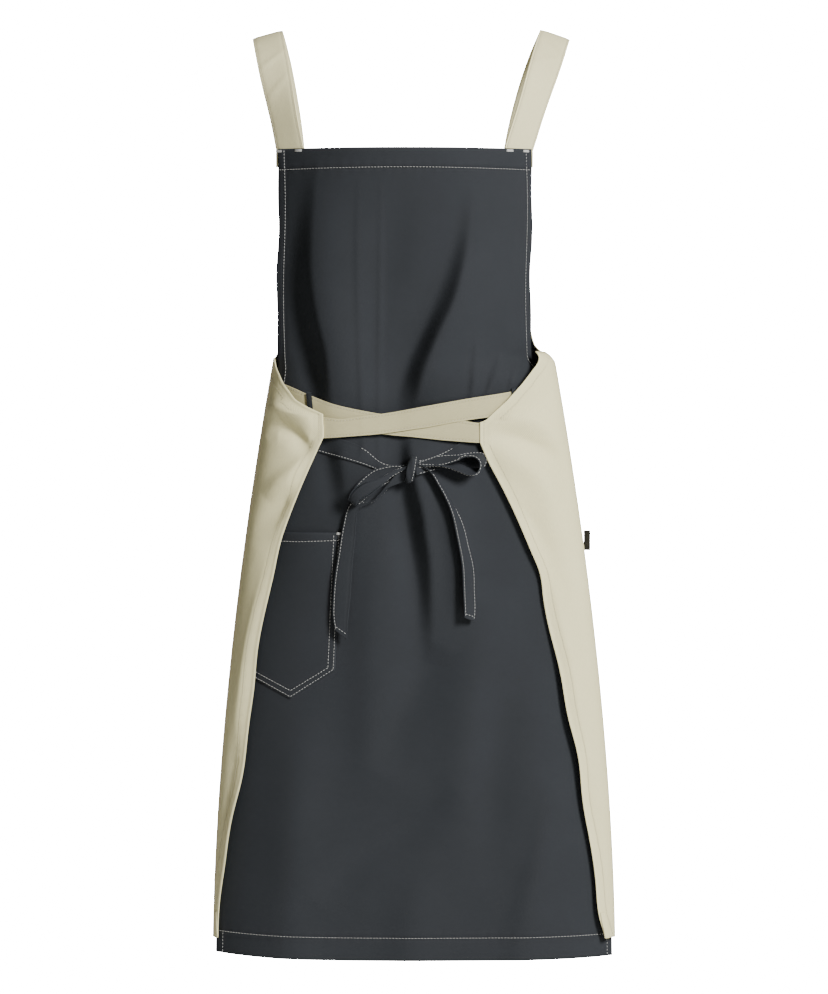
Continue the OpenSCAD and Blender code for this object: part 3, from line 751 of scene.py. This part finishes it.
# %% Both wings
for side, name in ((-1, "left"), (1, "right")):
    low, top = WINGS[side]
    h = spaced(LIGHT_HEM_H, top[-1][1], 3.2, low[-1][1], top[0][1])[:, None]
    h = h + np.zeros((1, 64))
    start = -wrap_angle(wing_x(side, h), h, FRONT_ROUND)
    a = mix(start, MERGE_A, np.linspace(0, 1, 64) ** 1.25)
    grid, inwards = wing_point(side, a, h)
    # painted highlight along the inner edge and the lower hem, painted shade in the hem's seam and
    # at the side seam
    painted_light = (0.45 * bell(inwards, 1.6) - 0.2 * bell(inwards - WING_HEM, 1.2)
            + 0.4 * bell(h - LIGHT_HEM_H, 2) - 0.5 * bell(a - SEAM_A, 1.2))
    wing = cloth(name + "_wing", grid, LIGHT, LIGHT_T, (side * 0.5, -1, 0), painted_light)
    put(wing, LIGHT_SLOT, "wing_" + name)
    for up, reach in ((np.linspace(LIGHT_HEM_H + 3, low[-1][1] - 2, 260), np.inf),
                      (np.linspace(top[0][1] + 4, UNDERARM_H - 10, 60), -2)):
        x = wing_x(side, up)
        over = x + WING_HEM * np.minimum(np.sqrt(1 + np.gradient(x, up) ** 2), 3)
        keep = over < side_x(up) + reach
        STONE_SEAMS.append(seam(wing_at(side), over[keep], up[keep], FRONT, 0.2))
    up = np.linspace(low[-1][1] - 4, top[0][1] + 2, 30)
    STONE_SEAMS.append(seam(wing_at(side), low[-1][0] + 5, up, FRONT, 0.2))

# %% [markdown]
# ## The back
#
# The back panel spans from side seam to side seam and narrows through the armholes to the back
# bib. Cloth that hangs from two straps falls in shallow flutes that open towards the hem.

# %% Back panel with its bib
BACK_HEM = 22.0
LEFT_LEAN, RIGHT_LEAN = 5, 12            # how fast each armhole leans over to the bib's middle


def armhole_x(h):
    """Half width of the back above the underarm: from the bib's half width it widens downwards
    to the side seam, as the eighth power of the share left."""
    t = np.clip((h - UNDERARM_H) / (BACK_BIB_H - UNDERARM_H), 0, 1)
    wide = UNDERARM / 2 * swell(np.cos(np.radians(SEAM_A)), BACK_ROUND)
    return mix(BACK_BIB_W / 2, wide, (1 - t) ** 8)


def back_limits(h):
    """Angles of the back panel's right and left edges at a height."""
    t = (h - UNDERARM_H) / (BACK_BIB_H - UNDERARM_H)
    right = wrap_angle(armhole_x(h) - BIB_SHIFT * smooth(RIGHT_LEAN * t), h, BACK_ROUND)
    left = 180 - wrap_angle(armhole_x(h) + BIB_SHIFT * smooth(LEFT_LEAN * t), h, BACK_ROUND)
    below = h <= UNDERARM_H
    return np.where(below, SEAM_A, right), np.where(below, 180 - SEAM_A, left)


def back_relief(a, h):
    """Flutes: waves round the back whose height grows from the bib down to the hem, over a
    gentle hollow at the small of the back."""
    fade = smooth((BACK_BIB_H - h) / 700) * smooth((a - SEAM_A) / 16) * smooth((174 - a) / 16)
    waves = (2.6 * np.sin(a / 6.1 + 0.9 * np.sin(h / 160)) + 1.8 * np.sin(a / 3.7 + h / 300 + 1)
             + 1.2 * np.sin(a / 9.5 - h / 220))
    hollow = -5 * bell(h - 600, 60) * np.sin(np.radians(a)) ** 2
    return waves * fade + hollow * fade


def back_at(a, h, out=0.0):
    a, h = np.broadcast_arrays(np.asarray(a, float), h)
    return wrap_at(a, h, back_relief(a, h) + out)


hem_lines = (LIGHT_HEM_H + BACK_HEM, BACK_BIB_H - BACK_HEM)
h = spaced(LIGHT_HEM_H, BACK_BIB_H, 3.6, *hem_lines, UNDERARM_H)[:, None]
right, left = back_limits(h)
a = mix(right, left, np.linspace(0, 1, 150))
from_top, from_low = BACK_BIB_H - h, h - LIGHT_HEM_H
grid = back_at(a, h, 0.3 + hem_edges(from_top, BACK_HEM) + hem_edges(from_low, BACK_HEM))
# painted highlight along both hems' folded edges and painted shade in their seams
painted_light = hem_highlight_and_shade(from_top, BACK_HEM, 2) + hem_highlight_and_shade(from_low, BACK_HEM, 2)
grid[..., 0] -= shoulder_in(h) * smooth((30 - a) / 24)
back_cloth = cloth("back_cloth", grid, LIGHT, LIGHT_T, BACK, painted_light)
# the Solidify modifier gives the inner side the second material: the dark cloth faces inwards
back_cloth.data.materials.append(DARK)
back_cloth.modifiers["cloth thickness"].material_offset = 1
put(back_cloth, LIGHT_SLOT, "back_panel")
for at_h in hem_lines:
    ring = np.linspace(*(float(x) for x in back_limits(np.array(at_h))), 300)
    STONE_SEAMS.append(seam(back_at, ring, at_h, BACK, 0.7))
for limit, inward in ((0, 1), (1, -1)):
    for inset in (0.7, 2.6):
        up = np.linspace(LIGHT_HEM_H + 2, UNDERARM_H - 2, 260)
        STONE_SEAMS.append(seam(back_at, back_limits(up)[limit] + inward * inset, up,
                                (1 - 2 * limit, 0.3, 0), 0.6))
    for inset in (1.2, 5.0):
        up = np.linspace(UNDERARM_H + 6, BACK_BIB_H - 2, 120)
        STONE_SEAMS.append(seam(back_at, back_limits(up)[limit] + inward * inset, up, BACK, 0.6))

# %% Hip pocket on the back, by the right side seam
HIP_FROM, HIP_TO, HIP_TOP, HIP_L = 12.0, 62.0, 500.0, 170.0


def hip_at(u, v):
    """Shares across and up the pocket, laid on the back's own flutes and bowed open at the
    mouth."""
    u, v = np.broadcast_arrays(np.asarray(u, float), v)
    open_ = 5 * np.sin(np.pi * np.clip(u, 0, 1)) * np.clip(v, 0, 1) ** 2
    hem = 0.5 * smooth((v - 0.88) / 0.02) - 0.4 * bell(v - 0.88, 0.008)
    return back_at(mix(HIP_TO, HIP_FROM, u), HIP_TOP - HIP_L + HIP_L * v, 1.6 + open_ + hem)


u = np.linspace(0, 1, 56)[None, :]
v = np.unique(np.r_[np.linspace(0, 1, 60), 0.87, 0.88, 0.89])[:, None]
grid = hip_at(u, v)
# painted highlight along the pocket's mouth and both side edges
painted_light = 0.5 * bell(v - 1, 0.012) + 0.4 * bell(u, 0.012) + 0.4 * bell(u - 1, 0.012) + 0 * u * v
hip_cloth = cloth("hip_pocket_cloth", grid, LIGHT, POCKET_T, (1, 1, 0), painted_light)
put(hip_cloth, LIGHT_SLOT, "hip_pocket")
t = np.linspace(0, 1, 90)
for inset in (0.02, 0.07):
    for u_line, v_line in ((inset, mix(inset, 0.99, t)), (1 - inset, mix(inset, 0.99, t)),
                           (mix(inset, 1 - inset, t), inset * 0.9)):
        STONE_SEAMS.append(seam(hip_at, u_line, v_line, (1, 1, 0), 0.2))
STONE_SEAMS.append(seam(hip_at, t * 0.98 + 0.01, 0.88, (1, 1, 0), 0.3))
print("hip pocket:", grid.shape)

# %% The folded finish of the wings' lower ends
TAB_H, TAB_W = 28.0, 5.5
for side, name in ((-1, "left"), (1, "right")):
    h = np.linspace(LIGHT_HEM_H - 0.5, LIGHT_HEM_H + TAB_H, 22)[:, None]
    w = np.linspace(-1, 1, 14)[None, :]
    x = wing_x(side, h) + TAB_W / 2 + w * TAB_W / 2 - 0.3 + 0.08 * (h - LIGHT_HEM_H)
    x = np.minimum(x, side_x(h) - 1.2)
    grid = wing_at(side)(x, h + 0 * x)
    grid[..., 1] -= 0.9 + 0.5 * (1 - w ** 4)
    # the edge values paint a highlight along the fold's outer edge
    tab = cloth(name + "_wing_fold", grid, LIGHT, 1.0, FRONT, 0.4 * bell(w - 1, 0.3) + 0 * h)
    put(tab, LIGHT_SLOT, "wing_tab_" + name)
print("two folded wing ends")

# %% [markdown]
# ## Shoulder straps
#
# Each strap is a folded tape 35 mm wide. It is sewn to the inside of the dark bib, rises to the
# shoulder line and comes down inside the back bib. The path is upright at its feet and level at
# its crown, a quarter of an ellipse on each side, and the tape turns with the shoulder's slope.

# %% Straps over the shoulders
STRAP_W, STRAP_T, STRAP_LAP, SLOPE = 35.0, 2.2, 20.0, np.radians(15)
EDGE_SEAM = 0.86       # share of the half width at which the edge seams run


def back_inner(x, h):
    """The inner face of the back bib, where the straps' far feet are sewn."""
    taper = BACK_TAPER * np.clip((h - UNDERARM_H) / (BACK_BIB_H - UNDERARM_H), 0, 1)
    bulge = 1 - np.minimum(1, np.abs(x) / side_x(h)) ** BACK_ROUND
    return (BACK_DEPTH - taper - 1.6) * np.maximum(bulge, 0) ** (1 / BACK_ROUND)


def strap_line(side):
    """Middles and edge directions of a strap, from its near foot over the crown to its far
    foot."""
    crown = np.array([-3 + side * 159, 22, HANG - 0.5 - STRAP_W / 2 * np.sin(SLOPE)])
    turn = np.array([np.cos(SLOPE), 0, -side * np.sin(SLOPE)])
    legs = []
    for half, top, spread, inner in (
            (BIB_W / 2, BIB_TOP, 1, lambda x, h: panel_y(x, h) + 1.4),
            (BACK_BIB_W / 2, BACK_BIB_H, 1.8, lambda x, h: back_inner(x, h) - 0.2)):
        x = -BIB_SHIFT + side * (half - 14)
        a, b = inner(np.array(x - 15.0), np.array(top)), inner(np.array(x + 15.0), np.array(top))
        foot, lie = np.array([x, (a + b) / 2, top]), unit(np.array([30, b - a, 0]))
        t = np.r_[np.linspace(-1, 0, 8)[:-1], np.linspace(0, 1, 60)][:, None]
        s = np.clip(t, 0, 1) * np.pi / 2
        lap = np.minimum(t, 0) * STRAP_LAP
        mids = np.concatenate([mix(foot[0], crown[0], np.sin(s) ** spread),
                               mix(foot[1], crown[1], 1 - np.cos(s)),
                               mix(foot[2], crown[2], np.sin(s)) + lap], 1)
        legs.append((mids, mix(lie, turn, smooth(t))))
    mids = np.concatenate([legs[0][0], legs[1][0][::-1][1:]])
    lies = np.concatenate([legs[0][1], legs[1][1][::-1][1:]])
    run = unit(np.gradient(mids, axis=0))
    return mids, unit(lies - (lies * run).sum(1, keepdims=True) * run), run


def strap_at(side):
    mids, lies, run = strap_line(side)
    out = np.cross(lies, run)
    share = np.linspace(0, 1, len(mids))

    def at(s, w):
        """Share s along the strap and w from -1 to 1 across it. The tape is a little fuller in
        the middle, and soft creases cross it."""
        s, w = np.broadcast_arrays(np.asarray(s, float), w)
        crease = (0.9 * bell(s - 0.30 - 0.025 * w, 0.012)
                  - 0.8 * bell(s - 0.36 + 0.03 * w, 0.014)
                  + 0.7 * bell(s - 0.21 - 0.03 * w, 0.012)
                  + 0.6 * bell(s - 0.64 - 0.02 * w, 0.015))
        crown = (0.7 * (1 - w ** 4) - 0.35 * bell(np.abs(w) - EDGE_SEAM, 0.05)
                 + crease * (1 - w ** 2))
        curl = 1.2 * np.sin(s * 21 + side) * w * smooth(s * 8) * smooth((1 - s) * 8)
        return (taken(s, share, mids) + taken(s, share, lies) * (w * STRAP_W / 2)[..., None]
                + taken(s, share, out) * (crown + curl)[..., None])
    return at


for side, name in ((-1, "left"), (1, "right")):
    at = strap_at(side)
    s = np.linspace(0, 1, 190)[:, None]
    w = np.unique(np.r_[np.linspace(-1, 1, 22), -0.97, 0.97, -EDGE_SEAM, EDGE_SEAM])[None, :]
    grid = at(s, w)
    # painted highlight along the tape's edges and painted shade in its edge seams
    painted_light = 0.5 * bell(np.abs(w) - 1, 0.05) - 0.4 * bell(np.abs(w) - EDGE_SEAM, 0.05) + 0 * s
    strap = cloth(name + "_shoulder_tape", grid, WEBBING, STRAP_T, (0, 0, 1), painted_light)
    length = np.linalg.norm(np.diff(strap_line(side)[0], axis=0), axis=1).sum() / 1000
    put(strap, LIGHT_SLOT, "shoulder_strap_" + name)
    for edge in (-EDGE_SEAM, EDGE_SEAM):
        STONE_SEAMS.append(seam(at, np.linspace(0.01, 0.99, 240), edge, (0, -0.3, 1), 0.15))
    print(strap.name, "is", round(length, 3), "m long")

# %% [markdown]
# ## Waist straps, belt loops and tie
#
# Two narrow straps cross over the small of the waist, each from one wing's corner to the loop
# under the other wing. They are pulled straight, so they bridge the folds below them. A strap
# is a ruled surface between its upper and lower edge, which are lines of [x, height, distance
# off the panel].

# %% Ruled bands


def off_panel(rows, at, follow):
    """A line of [x, height, off] rows as points: each stands `off` in front of the panel's
    plain face, and follows a share of its folds."""
    line = through(rows, at)
    x, h = line[:, 0], line[:, 1]
    y = panel_y(x, h) - follow * panel_relief(x, h) - line[:, 2]
    return np.stack([x, y, h], -1)


def band(upper, lower, number, follow=0.0, full=0.0):
    """A surface between two edge lines: share s along both, w from 0 at the upper edge to 1 at
    the lower, bowed out by `full` in its middle."""
    at = np.linspace(0, 1, number)
    a, b = off_panel(upper, at, follow), off_panel(lower, at, follow)

    def surface(s, w):
        s, w = np.broadcast_arrays(np.asarray(s, float), w)
        pa, pb = taken(s, at, a), taken(s, at, b)
        n = unit(np.cross(taken(s, at, np.gradient((a + b) / 2, axis=0)), pb - pa))
        bow = full * (1 - (2 * w - 1) ** 2) - 0.25 * bell(np.minimum(w, 1 - w) - 0.1, 0.04)
        return mix(pa, pb, w[..., None]) - n * bow[..., None]
    return surface


def band_piece(name, surface, rows, cols, material, thick, facing, nodes,
               moves=False, slot=DARK_SLOT):
    """Makes one band and hides the model's nodes it stands for. It rides on the apron, unless it
    moves.
    """
    s = np.linspace(0, 1, rows)[:, None]
    w = np.unique(np.r_[np.linspace(0, 1, cols), 0.03, 0.97, 0.1, 0.9])[None, :]
    grid = surface(s, w)
    # painted highlight along the band's edges and painted shade at its stitch lines
    painted_light = 0.5 * bell(np.minimum(w, 1 - w), 0.04) - 0.3 * bell(np.minimum(w, 1 - w) - 0.1, 0.04)
    piece = cloth(name, grid, material, thick, facing, painted_light + 0 * s)
    if moves:
        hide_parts(*nodes)
    else:
        put(piece, slot, *nodes)
    return piece


# %% The two waist straps and their loops
A_TOP = [[-106, 595, 8.5], [-98, 594.5, 8], [-78, 592.5, 7], [-64.5, 594.5, 6.4], [-41, 597.5, 6],
         [-27, 599.5, 6], [1, 604.5, 6.2], [29, 609.5, 6], [56.5, 614.5, 5], [94, 620.5, 4],
         [124, 626, 3.4]]
A_LOW = [[-106, 571.5, 8.5], [-98, 571.7, 8], [-68.5, 573.7, 7], [-34, 576.6, 6.4],
         [-6, 580.6, 6.2], [15, 583.5, 6.2], [36, 587.5, 6], [59.5, 591.5, 5.4],
         [81.5, 594.5, 4.6], [100, 597, 4], [126, 602, 3.4]]
B_TOP = [[-150, 634, 2.4], [-141.6, 631, 2.4], [-115.5, 619.6, 2.6], [-89.5, 609.5, 3],
         [-59.5, 602.4, 3.6], [-41, 599, 4], [0, 594.5, 4.3], [30, 592, 4.6], [56, 590.5, 5.4],
         [69.5, 588.5, 6.4], [75, 588.4, 6.6]]
B_LOW = [[-154, 611, 2.4], [-120, 598, 2.6], [-90, 587.5, 3], [-60, 580, 3.6],
         [-30, 575.6, 4], [1, 572.7, 4.3], [29, 569.7, 4.6], [49.6, 568, 5.4],
         [69.5, 566.7, 6.4], [75, 566.5, 6.6]]
for name, top, low, node in (("left_waist_band", A_TOP, A_LOW, "waist_strap_left"),
                             ("right_waist_band", B_TOP, B_LOW, "waist_strap_right")):
    surface = band(top, low, 120, 0.25, 0.25)
    # the waist straps' darker stone tape is painted shade
    band_piece(name, surface, 110, 12, SHADED_WAIST_TAPE, 1.1, FRONT, [node],
               slot=LIGHT_SLOT)
    for w in (0.1, 0.9):
        STONE_SEAMS.append(seam(surface, np.linspace(0.02, 0.98, 200), w, FRONT, 0.1))

LOOP_T, LOOP_W = 0.8, 5.8
for name, x, low, high, over in (("left", -114.4, 602, 622, 4.4), ("right", 110.5, 597, 628, 5.4)):
    rows = np.linspace(0, 1, 30)
    rise = over * np.minimum(1, 4 * np.sin(np.pi * rows))
    sides = [np.stack([x + half - 2 * (rows - 0.5), mix(low, high, rows), rise], -1)
             for half in (-LOOP_W / 2, LOOP_W / 2)]
    band_piece(name + "_belt_loop", band(*sides, 40, 0.25, 0.2), 40, 6, DARK, LOOP_T,
               FRONT, ["belt_loop_" + name])

# %% [markdown]
# ## The bow
#
# The tie is a flat band, 20 mm wide, stitched along both edges. It comes out under the waist
# straps, is tied in a bow, and its two ends hang free. Each part is again ruled between two edge
# lines: where the edge lines change places in front of each other, the band twists.

# %% The tie's bands behind the knot
# Stitches start where the band comes out from under the waist straps
TIE_LEFT = ([[-140, 588, 1.4], [-100, 577, 1.4], [-54.6, 561, 1.6], [-32.7, 544.5, 3],
             [-6, 543, 6]],
            [[-146, 569, 1.4], [-105.3, 557, 1.4], [-44.7, 539, 2], [-24, 531, 3], [-6, 530, 6]])
TIE_RIGHT = ([[100, 592, 1.4], [74, 580, 1.4], [50.6, 567, 1.6], [30.8, 556, 2.2], [2, 545, 6]],
             [[104, 572, 1.4], [78, 561, 1.4], [56, 548, 1.6], [34, 540, 2.4], [2, 531, 6]])
for name, (top, low) in (("left", TIE_LEFT), ("right", TIE_RIGHT)):
    surface = band(top, low, 90, 1.0, 0.3)
    band_piece(name + "_tie_band", surface, 80, 10, DARK, 1.0, FRONT, ["tie_band_" + name])
    for w, start in ((0.08, 0.6), (0.92, 0.02 if name == "left" else 0.8)):
        WHITE_SEAMS.append(seam(surface, np.linspace(start, 0.97, 160), w, FRONT, 0.1))

# %% The bow's loops
LOOP_LEFT = ([[-9.7, 541.4, 6], [-22.9, 542.3, 6], [-32.2, 540.8, 6], [-43.5, 537.6, 6],
              [-51, 532.4, 6.5], [-60.4, 523.6, 8], [-67.8, 513.5, 10.5], [-71.4, 505, 14],
              [-69.5, 511.4, 17.5],
              [-64.1, 517.9, 19.5], [-54.7, 523.6, 20], [-43.5, 526.4, 19.5], [-34.1, 529.2, 18],
              [-26.6, 533.9, 16], [-8, 541, 12]],
             [[-9.7, 529, 5], [-22.9, 525, 5], [-34, 519, 5], [-44, 512, 5.5], [-52, 505, 6.5],
              [-58, 500, 8], [-62.5, 497.5, 11.5], [-64.1, 497.3, 14], [-61, 498.6, 17],
              [-58.4, 502.9, 18.5], [-49.1, 508.6, 19.5], [-34.1, 520.8, 19], [-22.9, 531.1, 16.5],
              [-9, 538.5, 12]])
LOOP_RIGHT = ([[0, 541, 12], [13.4, 541, 15], [28.7, 541, 18], [37.6, 539, 19],
               [48.5, 535, 20], [61.4, 531, 20], [68.3, 533, 19], [71.8, 539, 18.5],
               [71.3, 546, 18], [66.3, 551, 17.5], [57.4, 552, 17], [45.5, 547, 17],
               [34.7, 543, 15], [0, 543, 12]],
              [[0, 537, 6], [15, 543, 5], [28.8, 545, 4], [49.6, 543, 3.4], [60, 539, 3.4],
               [70, 538.5, 3.4], [77.4, 542, 4], [79.4, 549, 5], [76.4, 555, 5], [66.5, 556, 5],
               [50, 554, 5], [28.8, 553, 5], [13.4, 549, 6], [0, 546, 7]])
for name, (top, low) in (("left", LOOP_LEFT), ("right", LOOP_RIGHT)):
    surface = band(top, low, 160, 0.4, 0.4)
    band_piece(name + "_bow_loop", surface, 150, 12, DARK, TIE_T, FRONT,
               ["bow_loop_" + name])
    for w in (0.08, 0.92):
        WHITE_SEAMS += both_faces(surface, np.linspace(0.03, 0.97, 200), w)

# %% The knot
KNOT = np.array([-2.6, float(panel_y(np.array(-2.6), np.array(538.0))) - 9.5, 537.6])


def knot_at(t, w):
    """A band wrapped round the middle of the bow: angle t in degrees from below, over the
    front, to above, and w from -1 to 1 across it. It is pinched, so its edges turn in."""
    t, w = np.broadcast_arrays(np.radians(t), w)
    full = 1 + 0.17 * (1 - w ** 2) + 0.03 * np.sin(3 * t + 4 * w)
    x = KNOT[0] + w * (5.6 - 1.1 * np.abs(np.sin(t))) + 2.6 * np.sin(t)
    return np.stack([x, KNOT[1] - 7.6 * full * np.cos(t), KNOT[2] + 12.6 * full * np.sin(t)], -1)


t = np.linspace(-150, 150, 60)[:, None]
w = np.linspace(-1, 1, 18)[None, :]
# the edge values paint a highlight along the knot band's two edges
knot = cloth("bow_wrap", knot_at(t, w), DARK, 1.2, FRONT, 0.6 * bell(np.abs(w) - 1, 0.1) + 0 * t)
put(knot, DARK_SLOT, "bow_knot")
WHITE_SEAMS.append(seam(knot_at, np.linspace(-70, 80, 60), 0.55, FRONT, 0.1))
u, v = np.meshgrid(np.linspace(0, 360, 28), np.linspace(-90, 90, 18))
ball = np.stack([KNOT[0] + 7 * np.cos(np.radians(v)) * np.cos(np.radians(u)),
                 KNOT[1] + 6.2 * np.cos(np.radians(v)) * np.sin(np.radians(u)) + 1,
                 KNOT[2] + 10 * np.sin(np.radians(v))], -1)
core = cloth("bow_core", ball, DARK, 0.6, (0, 0, 1), None)
core.modifiers.clear()
put(core, DARK_SLOT)

# %% The tie's two hanging ends
END_LEFT = ([[-8, 538, 9], [-17, 534, 9.5], [-30.4, 519.8, 9.5], [-47.2, 502, 8.5], [-56, 497.2, 7],
             [-61, 493.6, 6.5], [-62.8, 483, 7], [-64.1, 464.5, 7.5], [-66.9, 436.4, 8],
             [-69.7, 395.5, 9], [-71.8, 375, 9.5], [-73.4, 352, 10]],
            [[-10, 524.5, 9.5], [-22.9, 519.8, 9.5], [-28.5, 517, 9.5], [-34.1, 510.4, 9],
             [-40.7, 504.8, 8.5], [-49.1, 500.6, 7], [-60, 501.5, 4.5], [-68, 502, 4.5],
             [-72.5, 495, 5], [-77.2, 477.6, 6], [-81.9, 449.5, 7.4], [-86.6, 419.5, 8.4],
             [-88.5, 395.5, 8.6], [-88.6, 378, 9], [-86, 362, 10]])
END_RIGHT = ([[2, 545, 10], [13, 540, 14], [28.7, 518, 16], [39.6, 495.3, 17], [47, 464.6, 17.5],
              [52.5, 434, 17.5], [54, 405, 17], [55.4, 376, 16]],
             [[2, 534, 6], [16, 536, 4], [31, 519, 3.4], [42, 501, 3.2], [54, 476.4, 3.2],
              [60.5, 450.6, 3.4], [65, 432, 4], [66.5, 405, 5], [67, 383, 7], [66, 372, 9]])
for name, (edge_a, edge_b), hinge in (("left", END_LEFT, 500.0), ("right", END_RIGHT, 524.0)):
    surface = band(edge_a, edge_b, 200, 0.5, 0.3)
    piece = band_piece(name + "_tie_end", surface, 170, 12, DARK, TIE_T, FRONT,
                       ["tie_lead_" + name, "tie_tail_" + name], moves=True)
    seams = []
    for w, start in ((0.92, 0.02),) if name == "left" else ((0.08, 0.12), (0.92, 0.3)):
        seams += both_faces(surface, np.linspace(start, 0.99, 240), w)
    seams += both_faces(surface, 0.975, np.linspace(0.08, 0.92, 20))
    thread = stitched(name + "_end_stitching", seams, WHITE_THREAD, STITCH_R)
    x = -0.068 if name == "left" else 0.027
    for part in (piece, thread):
        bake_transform(part)

# %% [markdown]
# ## Label, bar tacks and the sewn thread
#
# A blank ribbon label is folded double and caught in the right side seam. Bar tacks are dense
# zigzags that lock the straps and the pocket's corner: here, strands laid side by side.

# %% Ribbon label
LABEL_H, LABEL_L, LABEL_R = 22.0, 9.0, 0.8   # height, reach, and half of the folded thickness
LABEL_DROP, LABEL_GAP, LABEL_TURN = 40.0, -0.4, np.radians(45)
low = HIP_TOP - LABEL_DROP - LABEL_H / 2
turn = np.linspace(-np.pi / 2, np.pi / 2, 12)
flat_run = np.linspace(0, LABEL_L - LABEL_R, 14)
out_x = np.r_[flat_run, LABEL_L - LABEL_R + LABEL_R * np.cos(turn)[1:-1], flat_run[::-1]]
out_y = LABEL_R * np.r_[0 * flat_run - 1, np.sin(turn)[1:-1], 0 * flat_run + 1]
up = np.linspace(0, LABEL_H, 24)[:, None]
bend = 0.35 * np.sin(out_x / LABEL_L * np.pi) * np.sin(up / 7)
grid = np.stack([float(side_x(low)) + LABEL_GAP + out_x * np.cos(LABEL_TURN)
                 + (out_y + bend) * np.sin(LABEL_TURN),
                 (out_y + bend) * np.cos(LABEL_TURN) - out_x * np.sin(LABEL_TURN),
                 low + up + 0 * out_x], -1)
# the edge values paint a highlight along the label's upper and lower edges
label = cloth("ribbon_label", grid, RIBBON, 0.35, (1, 0, 0),
              0.2 * bell(np.minimum(up, LABEL_H - up), 0.8) + 0 * out_x)
put(label, "label_ribbon", "flag_label", body="label")
print("label:", grid.shape)

# %% Bar tacks


def tack(x, h, width, surface_y):
    """Five strands side by side, each `width` long, half a millimetre apart."""
    rows = []
    for k in range(5):
        line = np.linspace(x - width / 2, x + width / 2, 6)
        y = surface_y(line, h + 0 * line)
        p = np.stack([line, y - 0.2, h + 0.5 * (k - 2) + 0 * line], -1)
        rows.append((p, np.tile([0, -1.0, 0], (6, 1))))
    return rows


face = lambda x, h: panel_at(x, h)[..., 1] - 0.6
bib_tacks = [row for x in (-148.6, -127.4, 104.6, 123.2)
             for row in tack(x, BIB_TOP - 2.4, 9.4, face)]
tacks = stitched("bib_corner_tacks", bib_tacks, WHITE_THREAD, TACK_R, length=9.2, gap=0.1)
put(tacks, THREAD_SLOT, "bib_bar_tacks")
corner = lambda x, h: panel_at(x, h)[..., 1] - 2.8
tacks = stitched("pocket_corner_tack", tack(-82.5, 467.5, 6.5, corner), WHITE_THREAD,
                 TACK_R, length=6.3, gap=0.1)
put(tacks, THREAD_SLOT, "pocket_bar_tacks")

# %% Every other seam
for name, seams, material in (("white_stitching", WHITE_SEAMS, WHITE_THREAD),
                              ("stone_stitching", STONE_SEAMS, STONE_THREAD)):
    piece = stitched(name, seams, material, STITCH_R)
    put(piece, THREAD_SLOT)

# %% [markdown]
# ## Studio
#
# The apron hangs in front of white, lit by one large soft lamp from the right and above, a
# weaker one from the left, and the white surroundings. A long lens keeps its sides parallel.

# %% Floor, light and camera
AIM = Vector((0, 0, -0.5))
AROUND, BACKDROP = 0.11, 30.0            # the white's strength on the apron, and as it is seen


def lamp(name, size, power, place, tint="#ffffff"):
    """A rectangular lamp of width and height `size` in metres, aimed at the apron's middle."""
    data = bpy.data.lights.new(name, "AREA")
    data.shape, data.size, data.size_y = "RECTANGLE", *size
    data.energy, data.color = power, linear(tint)[:3]
    made = bpy.data.objects.new(name, data)
    made.location = place
    made.rotation_euler = (AIM - Vector(place)).to_track_quat("-Z", "Y").to_euler()
    bpy.context.scene.collection.objects.link(made)


lamp("key", (0.8, 1.3), 325, (2.2, -2.7, 1.1), "#fbfcff")
lamp("fill", (1.4, 1.8), 5, (-2.4, -2.6, 0.0), "#fff0d0")
lamp("back", (1.6, 1.6), 30, (-0.6, 2.4, 0.8))

world = bpy.data.worlds.new("white studio")
bpy.context.scene.world = world
tree = emptied(world)
ray = add(tree, "ShaderNodeLightPath")
seen = add(tree, "ShaderNodeBackground", Color=(1, 1, 1, 1), Strength=BACKDROP)
around = add(tree, "ShaderNodeBackground", Color=(1, 1, 1, 1), Strength=AROUND)
both = add(tree, "ShaderNodeMixShader", links={0: ray.outputs["Is Camera Ray"],
                                               1: around.outputs[0], 2: seen.outputs[0]})
add(tree, "ShaderNodeOutputWorld", links={"Surface": both.outputs[0]})

FLOOR_R, FLOOR_Z = 1.8, -1.30
ring = np.linspace(0, 2 * np.pi, 97)[:-1]
disc = np.stack([np.r_[0, FLOOR_R * np.cos(ring)], np.r_[0, FLOOR_R * np.sin(ring)],
                 np.full(97, FLOOR_Z)], -1)
mesh = bpy.data.meshes.new("floor")
mesh.from_pydata(disc.tolist(), [], [[0, i, i % 96 + 1] for i in range(1, 97)])
floor = bpy.data.objects.new("floor", mesh)
pale = bpy.data.materials.new("pale_floor_paint")
pale.use_nodes = True
pale.node_tree.nodes["Principled BSDF"].inputs["Base Color"].default_value = linear("#f4f4f2")
pale.node_tree.nodes["Principled BSDF"].inputs["Roughness"].default_value = 0.8
mesh.materials.append(pale)
bpy.context.scene.collection.objects.link(floor)
floor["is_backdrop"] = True

CAMERA_Y, CAMERA_Z, FIELD, SENSOR = -6.0, -0.5164, 1.0954, 36.0   # field: the view's height, m
camera = bpy.data.objects.new("camera", bpy.data.cameras.new("camera"))
camera.data.sensor_width = SENSOR
camera.data.lens = SENSOR * -CAMERA_Y / FIELD
camera.location = (0, CAMERA_Y, CAMERA_Z)
camera.rotation_euler = (np.pi / 2, 0, 0)
camera.data.clip_end = 100
bpy.context.scene.collection.objects.link(camera)
bpy.context.scene.camera = camera

# %% Sizes
visual_box = [list(corner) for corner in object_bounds()]
print("visual box:", visual_box)
